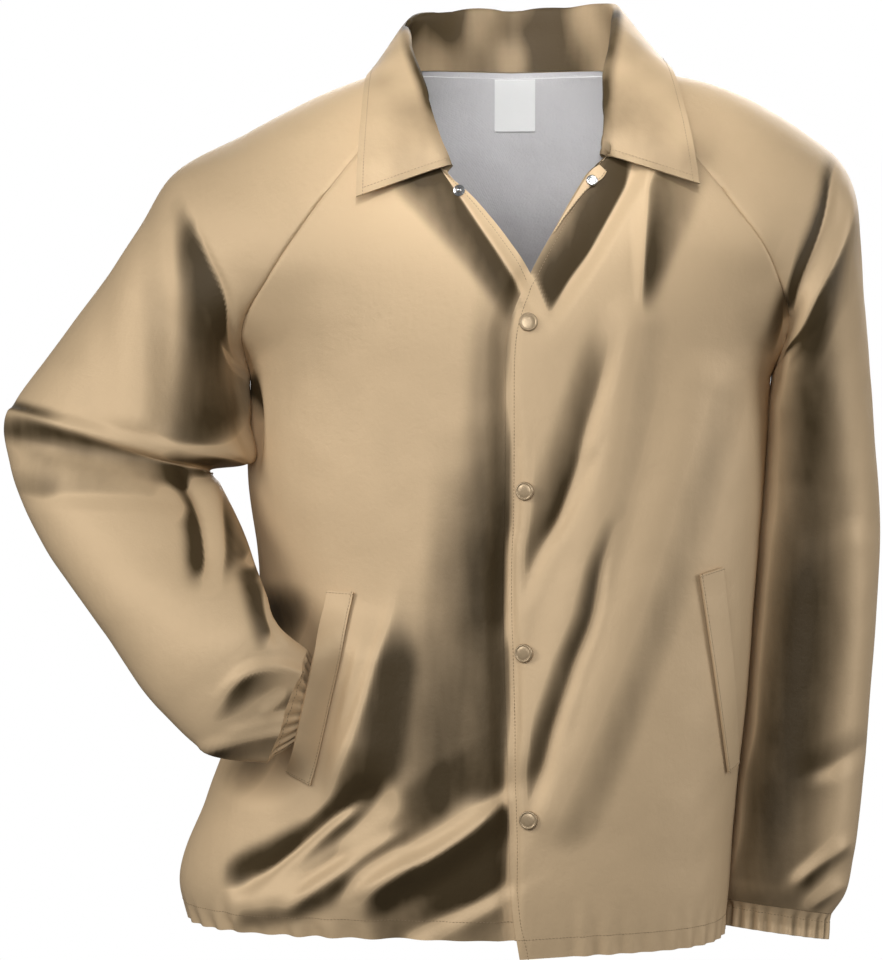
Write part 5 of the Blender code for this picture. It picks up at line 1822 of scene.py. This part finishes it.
@dataclass
class Trims(Maker):
    """Welts, facing, lining and label: flat pieces that lie on a panel.

    Attributes:
        welt_wall, facing_wall, lining_wall, label_wall: thicknesses.
        welt_clear: room under a welt.
        welt_stand: how far the right welt stands off where the wrist goes behind it.
        lay_gap: room under a flat piece.
        welt_grid, facing_grid, label_grid: points along and across a piece.
        lining_start, lining_inset: where the lining starts up the back, and its columns left free.
        lining_painted_share, lining_painted_shade, lining_shade_band: its painted light and shade: share of
        the back's, how much painted shade darkens it lower down, and over which heights.
        label_box: left, right, top and bottom of the label.
        welt_flat, facing_flat, lining_flat, label_flat: width and length of the flat cuts.
        facing_area, lining_area: areas of those that aren't rectangles.
    """

    welt_wall: float = 0.0020
    facing_wall: float = 0.0015
    lining_wall: float = 0.0010
    label_wall: float = 0.0010
    welt_clear: float = 0.0015
    welt_stand: float = 0.0120
    lay_gap: float = 0.0005
    welt_grid: tuple[int, int] = (49, 9)
    facing_grid: tuple[int, int] = (41, 7)
    label_grid: tuple[int, int] = (25, 19)
    lining_start: float = 1.07
    lining_inset: int = 6
    lining_painted_share: float = 0.4
    lining_painted_shade: float = 0.9
    lining_shade_band: Pair = (0.03, 0.20)
    label_box: tuple[float, float, float, float] = (-0.015, 0.021, -0.006, -0.051)
    welt_flat: Pair = (0.028, 0.184)
    facing_flat: Pair = (0.012, 0.075)
    lining_flat: Pair = (0.50, 0.32)
    label_flat: Pair = (0.036, 0.050)
    facing_area: float = 0.0005
    lining_area: float = 0.087

    def welt(self, half: HalfPattern, tree: BVHTree) -> Object:
        """A pocket welt: stitched along one side and both ends, free along the other side.

        Args:
            half: the pattern of its side.
            tree: the front that it lies on.

        Returns:
            The piece.
        """
        name, table, rows = "welt_" + half.side.value, half.welt, []
        for r in np.linspace(1.0, 0.0, self.welt_grid[0]):
            held = [float(table.at(c, r)) for c in ("held_x", "held_z")]
            free = [float(table.at(c, r)) for c in ("free_x", "free_z")]
            held_y = Workshop.onto(tree, *held, IN_FRONT)[0][1]
            row = []
            for share in np.linspace(0.0, 1.0, self.welt_grid[1]):
                x, z = (h * (1 - share) + f * share for h, f in zip(held, free))
                point, normal = Workshop.onto(tree, x, z, IN_FRONT)
                lifted = min(point[1], held_y - self.welt_stand * share)
                point[1] += (lifted - point[1]) * float(table.at("lift", r))
                row.append(point + normal * self.welt_clear)
            rows.append(row[::-1] if half.side is Side.RIGHT else row)
        shell, under = self.wardrobe.shell, "front_%s_cloth" % half.side.value
        cut = (self.welt_flat, None)
        return self.lay(name, np.array(rows), self.welt_wall, shell, Slot.SHELL, cut, under)

    @staticmethod
    def draped(tree: BVHTree, x: Array, z: Array, start_y: float, lift: float) -> Array:
        """Points on a surface, lifted off it.

        Args:
            tree: the surface.
            x, z: places seen from the front, by row and column.
            start_y: where the lines towards it start.
            lift: how far above it the points lie.

        Returns:
            Points by row and column.
        """
        points = np.empty((*x.shape, 3))
        for spot in np.ndindex(x.shape):
            point, normal = Workshop.onto(tree, float(x[spot]), float(z[spot]), start_y)
            points[spot] = point + normal * lift
        return points

    def facing(self, tree: BVHTree) -> Object:
        """The turned-out facing beside the neck opening, on the left front.

        Args:
            tree: the left front.

        Returns:
            The piece.
        """
        r, share = (np.linspace(0.0, 1.0, count) for count in self.facing_grid)
        fold_x, fold_z, free_x, free_z = (
            FACING.at(column, r)[:, None] for column in ("fold_x", "fold_z", "free_x", "free_z")
        )
        x, z = fold_x * (1 - share) + free_x * share, fold_z * (1 - share) + free_z * share
        grid = self.draped(tree, x, z, IN_FRONT, 2 * self.lay_gap)
        cut, under = (self.facing_flat, self.facing_area), "front_left_cloth"
        return self.lay("facing_left", grid, self.facing_wall, self.wardrobe.shell, Slot.SHELL, cut, under)

    def lining(self) -> Object:
        """The lining of the upper back, on the inner side of the back panel.

        Returns:
            The piece.
        """
        back = self.form.skins["back"]
        stations = np.concatenate([self.form.body_v, self.form.raglan_v[1:]])
        rows = slice(int(np.argmin(np.abs(stations - self.lining_start))), -1)
        columns = slice(self.lining_inset, -self.lining_inset)
        normals = back.normals[rows, columns]
        outer = (back.grid - (self.form.wall + self.lay_gap) * back.normals)[rows, columns]
        # Painted shade, darker towards the bottom, on top of a share of the back's painted light and shade.
        dark = self.lining_painted_shade * smoothstep(-outer[..., 2], *self.lining_shade_band)
        shade = self.lining_painted_share * back.tone[rows, columns] - dark
        shown = outer - self.lining_wall * normals
        turned = Skin(shown[:, ::-1], -normals[:, ::-1], shade[:, ::-1])
        mesh = Workshop.shell("lining_back_cloth", turned, outer[:, ::-1], [self.wardrobe.lining])
        piece = Workshop.piece("lining_back_cloth", mesh, Slot.LINING, "lining_back")
        return piece

    def label(self, tree: BVHTree) -> Object:
        """A blank label on the lining at the back of the neck.

        Args:
            tree: the lining.

        Returns:
            The piece.
        """
        left, right, top, bottom = self.label_box
        rows, columns = self.label_grid
        x, z = np.meshgrid(np.linspace(left, right, columns), np.linspace(bottom, top, rows))
        grid = self.draped(tree, x, z, 0.0, self.lay_gap)
        cut, under = (self.label_flat, None), "lining_back_cloth"
        return self.lay("label", grid, self.label_wall, self.wardrobe.label, Slot.LABEL, cut, under)

    def lay(
        self,
        name: str,
        grid: Array,
        wall: float,
        material: Material,
        slot: Slot,
        cut: tuple[Pair, float | None],
        under: str,
    ) -> Object:
        """A flat piece from the points of its underside.

        Args:
            name: the CAD node that it stands for.
            grid: its underside.
            wall: its thickness.
            material: its material.
            slot: the record's slot; not used.
            cut: width and length of its flat cut, and the area if that isn't a rectangle; not used.
            under: the piece that it lies on; not used.

        Returns:
            The piece.
        """
        normals = grid_normals(grid)
        skin = Skin(grid + wall * normals, normals, np.zeros(grid.shape[:2]))
        self.form.skins[name] = skin
        mesh = Workshop.shell(name + "_cloth", skin, grid, [material])
        piece = Workshop.piece(name + "_cloth", mesh, slot, name)
        return piece


@dataclass
class Snaps(Maker):
    """The closed snap caps and the open top snap.

    Attributes:
        segments: sides of a turned piece.
        cap_radius, cap_height: size of a cap.
        inset: distance of the caps from the front edge.
        heights: where the caps are.
        part_radius, part_height: size of the open snap's halves.
        socket_place, stud_place: where those are, seen from the front.
        cap_bevel: how far a cap's underside stays inside its rim.
        most_rise, seat_gap: most that a piece is raised off uneven cloth, and the room under it.
    """

    segments: int = 48
    cap_radius: float = 0.0082
    cap_height: float = 0.0028
    inset: float = 0.0172
    heights: tuple[float, ...] = (-0.2235, -0.3705, -0.5113, -0.6565)
    part_radius: float = 0.0052
    part_height: float = 0.0024
    socket_place: Pair = (0.0690, -0.1000)
    stud_place: Pair = (-0.0465, -0.1085)
    cap_bevel: float = 0.0006
    most_rise: float = 0.0012
    seat_gap: float = 0.0003

    def build(self, left: BVHTree, right: BVHTree, facing: BVHTree) -> None:
        """Makes the four caps, the socket and the stud.

        Args:
            left, right: the fronts.
            facing: the turned-out facing.
        """
        r, h = self.cap_radius, self.cap_height
        cap = (
            (0.0, 0.0), (r - self.cap_bevel, 0.0), (r, 0.20 * h), (r, 0.52 * h), (0.975 * r, 0.78 * h),
            (0.92 * r, 0.95 * h), (0.86 * r, h), (0.80 * r, 0.94 * h), (0.76 * r, 0.80 * h),
            (0.72 * r, 0.78 * h), (0.66 * r, 0.84 * h), (0.35 * r, 0.90 * h), (0.0, 0.91 * h),
        )
        for number, z in enumerate(self.heights, 1):
            seat = self.seat(left, float(self.form.left_edge_x(z)) + self.inset, z, r)
            self.turned("snap_cap_%d" % number, cap, seat, self.wardrobe.enamel, Slot.CAP)
        r, h = self.part_radius, self.part_height
        socket = (
            (0.0, 0.0), (r, 0.0), (r, 0.45 * h), (0.93 * r, 0.72 * h), (0.80 * r, 1.0 * h),
            (0.62 * r, 1.0 * h), (0.50 * r, 0.90 * h), (0.44 * r, 0.42 * h), (0.0, 0.42 * h),
        )
        seat = self.seat(facing, *self.socket_place, r)
        self.turned("snap_socket", socket, seat, self.wardrobe.nickel, Slot.METAL)
        stud = (
            (0.0, 0.0), (r, 0.0), (r, 0.22 * h), (0.92 * r, 0.34 * h), (0.42 * r, 0.50 * h),
            (0.34 * r, 0.70 * h), (0.36 * r, 1.25 * h), (0.27 * r, 1.52 * h), (0.0, 1.60 * h),
        )
        seat = self.seat(right, *self.stud_place, r)
        self.turned("snap_stud", stud, seat, self.wardrobe.nickel, Slot.METAL)

    def seat(self, tree: BVHTree, x: float, z: float, radius: float) -> tuple[Array, Array]:
        """Where a disc rests on a surface seen from the front.

        Args:
            tree: the surface.
            x, z: its centre seen from the front.
            radius: its radius.

        Returns:
            Its centre and its axis.
        """
        centre = Workshop.onto(tree, x, z, IN_FRONT)[0]
        hits = []
        for a in np.linspace(0.0, 2 * math.pi, 17)[:-1]:
            hits.append(Workshop.onto(tree, x + radius * math.cos(a), z + radius * math.sin(a), IN_FRONT))
        spots = np.array([hit[0] for hit in hits if hit is not None])
        axis = unit(np.linalg.svd(spots - spots.mean(axis=0))[2][2])
        axis = axis if axis[1] < 0 else -axis
        rise = max(0.0, float(((spots - centre) @ axis).max()))
        return centre + axis * (min(rise, self.most_rise) + self.seat_gap), axis

    def turned(
        self,
        name: str,
        outline: tuple[Pair, ...],
        seat: tuple[Array, Array],
        material: Material,
        slot: Slot,
    ) -> Object:
        """A turned piece from pairs of radius and height.

        Args:
            name: the CAD node that it stands for.
            outline: radius and height, from the axis to the axis again.
            seat: where it stands and along what axis.
            material: its material.
            slot: the record's slot; not used.

        Returns:
            The piece.
        """
        mesh, rings = bmesh.new(), []
        angles = np.linspace(0.0, 2 * math.pi, self.segments + 1)[:-1]
        for radius, height in outline:
            spots = angles if radius else angles[:1]
            ring = [(radius * math.cos(a), radius * math.sin(a), height) for a in spots]
            rings.append([mesh.verts.new(point) for point in ring])
        for low, high in zip(rings, rings[1:]):
            for i in range(self.segments):
                j = (i + 1) % self.segments
                corners = [low[i % len(low)], low[j % len(low)], high[j % len(high)], high[i % len(high)]]
                mesh.faces.new(list(dict.fromkeys(corners))).smooth = True
        bmesh.ops.recalc_face_normals(mesh, faces=mesh.faces[:])
        stand = Vector(seat[1]).to_track_quat("Z", "X").to_matrix().to_4x4()
        mesh.transform(Matrix.Translation(Vector(seat[0])) @ stand)
        data = bpy.data.meshes.new(name + "_turned")
        mesh.to_mesh(data)
        mesh.free()
        data.materials.append(material)
        data.set_sharp_from_angle(angle=math.radians(METAL_SHARP))
        return Workshop.piece(name + "_turned", data, slot, name)


@dataclass
class Stitching(Maker):
    """Rows of stitches laid along paths by Geometry Nodes.

    Attributes:
        pitch: distance of stitches.
        length: length of a stitch.
        thread: thickness of the thread.
        lift: height of the path above the cloth.
        seed: fixed seed of the uneven stitches.
        uneven: smallest and largest scale of a stitch.
        edge_inset, lap_inset: distance of the rows from the front edges, left and right.
        lap_skip: rows above the underarm where the right one starts.
        collar_inset, collar_rows: the same for the collar's edges, and the rows along its ends.
        welt_inset, trim_inset: the same for a welt's held side, and for its ends and the facing.
        cuff_row: the row of a cuff that is stitched.
    """

    pitch: float = 0.0030
    length: float = 0.0023
    thread: float = 0.0006
    lift: float = 0.0001
    seed: int = 7
    uneven: Pair = (0.86, 1.08)
    edge_inset: float = 0.0075
    lap_inset: float = 0.0065
    lap_skip: int = 8
    collar_inset: float = 0.006
    collar_rows: tuple[int, int] = (14, -2)
    welt_inset: float = 0.0018
    trim_inset: float = 0.0016
    cuff_row: int = -3

    def tree(self) -> NodeTree:
        """A tree that sets a stitch at even steps along each path.

        Returns:
            The tree, with named inputs for the sizes.
        """
        group = bpy.data.node_groups.new("stitch_row", "GeometryNodeTree")
        face = group.interface
        kinds = {"Path": "Geometry", "Pitch": "Float", "Length": "Float", "Thread": "Float"}
        for name, kind in (kinds | {"Seed": "Int", "Finish": "Material"}).items():
            face.new_socket(name, in_out="INPUT", socket_type="NodeSocket" + kind)
        face.new_socket("Stitches", in_out="OUTPUT", socket_type="NodeSocketGeometry")
        make = NodeMaker(group)
        source, sink = make.add("NodeGroupInput"), make.add("NodeGroupOutput")
        curve = make.add("GeometryNodeMeshToCurve")
        even = make.add("GeometryNodeResampleCurve", mode="LENGTH")
        tangent = make.add("GeometryNodeInputTangent")
        turn = make.add("FunctionNodeAlignRotationToVector", axis="X")
        bead = make.add("GeometryNodeMeshUVSphere")
        bead.inputs["Segments"].default_value = 6
        bead.inputs["Rings"].default_value = 5
        bead.inputs["Radius"].default_value = 0.5
        size = make.add("ShaderNodeCombineXYZ")
        shape = make.add("GeometryNodeTransform")
        vary = make.add("FunctionNodeRandomValue", data_type="FLOAT")
        vary.inputs[2].default_value, vary.inputs[3].default_value = self.uneven
        place = make.add("GeometryNodeInstanceOnPoints")
        real = make.add("GeometryNodeRealizeInstances")
        finish = make.add("GeometryNodeSetMaterial")
        smooth = make.add("GeometryNodeSetShadeSmooth")
        links = (
            (source, "Path", curve, "Mesh"),
            (curve, "Curve", even, "Curve"),
            (source, "Pitch", even, "Length"),
            (tangent, "Tangent", turn, "Vector"),
            (source, "Length", size, "X"),
            (source, "Thread", size, "Y"),
            (source, "Thread", size, "Z"),
            (bead, "Mesh", shape, "Geometry"),
            (size, 0, shape, "Scale"),
            (even, "Curve", place, "Points"),
            (shape, "Geometry", place, "Instance"),
            (turn, "Rotation", place, "Rotation"),
            (source, "Seed", vary, "Seed"),
            (vary, 1, place, "Scale"),
            (place, "Instances", real, "Geometry"),
            (real, "Geometry", smooth, "Geometry"),
            (smooth, "Geometry", finish, "Geometry"),
            (source, "Finish", finish, "Material"),
            (finish, "Geometry", sink, "Stitches"),
        )
        for giver, output, taker, name in links:
            make.link(giver.outputs[output], taker.inputs[name])
        return group

    def paths(self) -> list[Array]:
        """Lines of stitches on the fronts, hem, collar, welts, facing and cuffs.

        Returns:
            Lines of points.
        """
        skins, lift = self.form.skins, self.lift
        left, right, back = skins["front_left"], skins["front_right"], skins["back"]
        lap = right.inset(-1, self.lap_inset, lift)[0]
        lines = [left.inset(0, self.edge_inset, lift)[0], lap[len(self.form.body_v) + self.lap_skip :]]
        for skin in (left, right, back):
            lines.append(skin.above(self.form.hem_line, lift)[0])
        collar = skins["collar"]
        lines.append(collar.flipped().above(self.collar_inset, lift)[0])
        for column in (0, -1):
            lines.append(collar.inset(column, self.collar_inset, lift)[0][slice(*self.collar_rows)])
        for name, held in (("welt_right", -1), ("welt_left", 0)):
            skin = skins[name]
            lines.append(skin.inset(held, self.welt_inset, lift)[0])
            for end in (skin, skin.flipped()):
                lines.append(end.above(self.trim_inset, lift)[0])
        lines.append(skins["facing_left"].inset(-1, self.trim_inset, lift)[0])
        for side in Side:
            skin = skins["cuff_" + side.value]
            lines.append(skin.grid[self.cuff_row] + lift * skin.normals[self.cuff_row])
        return lines

    def build(self) -> Object:
        """Makes all stitches as one piece.

        Returns:
            The piece.
        """
        points: list = []
        edges: list = []
        for line in self.paths():
            edges += [(len(points) + i, len(points) + i + 1) for i in range(len(line) - 1)]
            points += line.tolist()
        path = bpy.data.meshes.new("stitch_paths")
        path.from_pydata(points, edges, [])
        carrier = bpy.data.objects.new("stitch_paths", path)
        bpy.context.scene.collection.objects.link(carrier)
        modifier = carrier.modifiers.new("stitches", "NODES")
        group = self.tree()
        modifier.node_group = group
        values = {
            "Pitch": self.pitch,
            "Length": self.length,
            "Thread": self.thread,
            "Seed": self.seed,
            "Finish": self.wardrobe.thread,
        }
        for item in group.interface.items_tree:
            if item.item_type == "SOCKET" and item.in_out == "INPUT" and item.name in values:
                modifier[item.identifier] = values[item.name]
        graph = bpy.context.evaluated_depsgraph_get()
        mesh = bpy.data.meshes.new_from_object(carrier.evaluated_get(graph))
        carrier.modifiers.remove(modifier)
        bpy.data.objects.remove(carrier)
        mesh.name = "stitches"
        return Workshop.piece("stitches", mesh, Slot.SHELL)


@dataclass(frozen=True)
class SoftBox:
    """A soft box of light: its name, place, width and height, power and colour."""

    name: str
    place: Triple
    size: Pair
    watts: float
    color: Triple = (1.0, 1.0, 1.0)


@dataclass
class Studio:
    """A pale floor, soft light and the camera.

    Attributes:
        floor_z: height of the floor.
        floor_radius: its radius.
        aim: the point that the camera looks at.
        distance: how far away it stands.
        frame_height: height of the picture at the aim.
        boxes: the soft boxes round the jacket.
        neck_place, neck_aim: where the narrow light stands, and the point in the neck that it lights.
        neck_watts, neck_cone, neck_blend, neck_soft: its power, cone in degrees, soft rim and size.
        glow: strength of the even light from all sides.
    """

    floor_z: float = -1.0
    floor_radius: float = 3.2
    aim: Triple = (-0.06204, 0.0, -0.3608)
    distance: float = 12.0
    frame_height: float = 0.8448
    boxes: tuple[SoftBox, ...] = (
        SoftBox("key", (-3.7, -2.6, 1.3), (2.0, 2.2), 108.0, (1.0, 0.99, 0.97)),
        SoftBox("front", (-0.5, -4.6, 0.9), (2.6, 2.2), 116.0),
        SoftBox("right", (3.2, -0.3, 0.4), (1.4, 2.4), 46.0),
        SoftBox("back", (0.6, 3.8, 1.4), (3.4, 2.6), 150.0),
    )
    neck_place: Triple = (0.06, -2.6, 1.5)
    neck_aim: Triple = (0.005, 0.085, 0.0)
    neck_watts: float = 2400.0
    neck_cone: float = 3.9
    neck_blend: float = 0.8
    neck_soft: float = 0.25
    glow: float = 0.10

    def build(self) -> None:
        """Makes the floor, the lights, the surroundings and the camera."""
        self.floor()
        self.soft_boxes()
        self.neck_light()
        self.surroundings()
        self.camera()
        bpy.context.scene.view_settings.view_transform = "Standard"

    def floor(self) -> None:
        """A round, pale floor."""
        mesh = bmesh.new()
        bmesh.ops.create_circle(mesh, cap_ends=True, segments=96, radius=self.floor_radius)
        mesh.transform(Matrix.Translation((self.aim[0], 0.0, self.floor_z)))
        data = bpy.data.meshes.new("floor")
        mesh.to_mesh(data)
        mesh.free()
        thing = bpy.data.objects.new("floor", data)
        bpy.context.scene.collection.objects.link(thing)
        data.materials.append(PALE_FLOOR.material())
        thing.visible_diffuse = False
        thing.visible_glossy = False

    @staticmethod
    def hang(data: Light, place: tuple, aim: tuple) -> None:
        """Hangs a light at a place, turned to a point and unseen by the camera.

        Args:
            data: the light.
            place: where it hangs.
            aim: the point that it lights.
        """
        lamp = bpy.data.objects.new(data.name, data)
        lamp.location = place
        lamp.rotation_euler = (Vector(aim) - Vector(place)).to_track_quat("-Z", "Y").to_euler()
        lamp.visible_camera = False
        bpy.context.scene.collection.objects.link(lamp)

    def soft_boxes(self) -> None:
        """Hangs the soft boxes, which face the jacket."""
        for box in self.boxes:
            data = bpy.data.lights.new(box.name, "AREA")
            data.shape = "RECTANGLE"
            data.size, data.size_y = box.size
            data.energy, data.color = box.watts, box.color
            self.hang(data, box.place, self.aim)

    def neck_light(self) -> None:
        """Hangs a narrow light into the neck, for the lining and the label."""
        data = bpy.data.lights.new("neck", "SPOT")
        data.energy, data.shadow_soft_size = self.neck_watts, self.neck_soft
        data.spot_size, data.spot_blend = math.radians(self.neck_cone), self.neck_blend
        self.hang(data, self.neck_place, self.neck_aim)

    def surroundings(self) -> None:
        """A white backdrop that gives the jacket only a weak, even glow."""
        world = bpy.data.worlds.new("white_surround")
        bpy.context.scene.world = world
        world.use_nodes = True
        make = NodeMaker(world.node_tree)
        world.node_tree.nodes.clear()
        path, mix = make.add("ShaderNodeLightPath"), make.add("ShaderNodeMixShader")
        out = make.add("ShaderNodeOutputWorld")
        make.link(path.outputs["Is Camera Ray"], mix.inputs[0])
        for slot, strength in ((1, self.glow), (2, 1.0)):
            white = make.add("ShaderNodeBackground")
            white.inputs["Strength"].default_value = strength
            white.inputs["Color"].default_value = (1.0, 1.0, 1.0, 1.0)
            make.link(white.outputs[0], mix.inputs[slot])
        make.link(mix.outputs[0], out.inputs["Surface"])

    def camera(self) -> None:
        """A long lens straight in front of the jacket."""
        data = bpy.data.cameras.new("camera")
        data.sensor_width = 36.0
        data.lens = 18.0 * self.distance / (self.frame_height / 2)
        data.clip_end = 100.0
        thing = bpy.data.objects.new("camera", data)
        thing.location = Vector(self.aim) + Vector((0.0, -self.distance, 0.0))
        thing.rotation_euler = (math.radians(90), 0.0, 0.0)
        bpy.context.scene.collection.objects.link(thing)
        bpy.context.scene.camera = thing


def main() -> None:
    """Builds the jacket piece by piece, then the studio."""
    logging.basicConfig(level=logging.INFO, format="%(message)s")
    form, wardrobe = JacketForm(), Wardrobe()
    panels = Panels(form, wardrobe).build()
    left, right = Workshop.tree(panels["front_left"]), Workshop.tree(panels["front_right"])
    Cuffs(form, wardrobe).build()
    trims = Trims(form, wardrobe)
    facing = trims.facing(left)
    trims.welt(RIGHT_HALF, right)
    trims.welt(LEFT_HALF, left)
    Collar(form, wardrobe).build(Workshop.tree(*panels.values(), facing))
    trims.label(Workshop.tree(trims.lining()))
    Snaps(form, wardrobe).build(left, right, Workshop.tree(facing))
    Stitching(form, wardrobe).build()
    Studio().build()


if __name__ == "__main__":
    main()
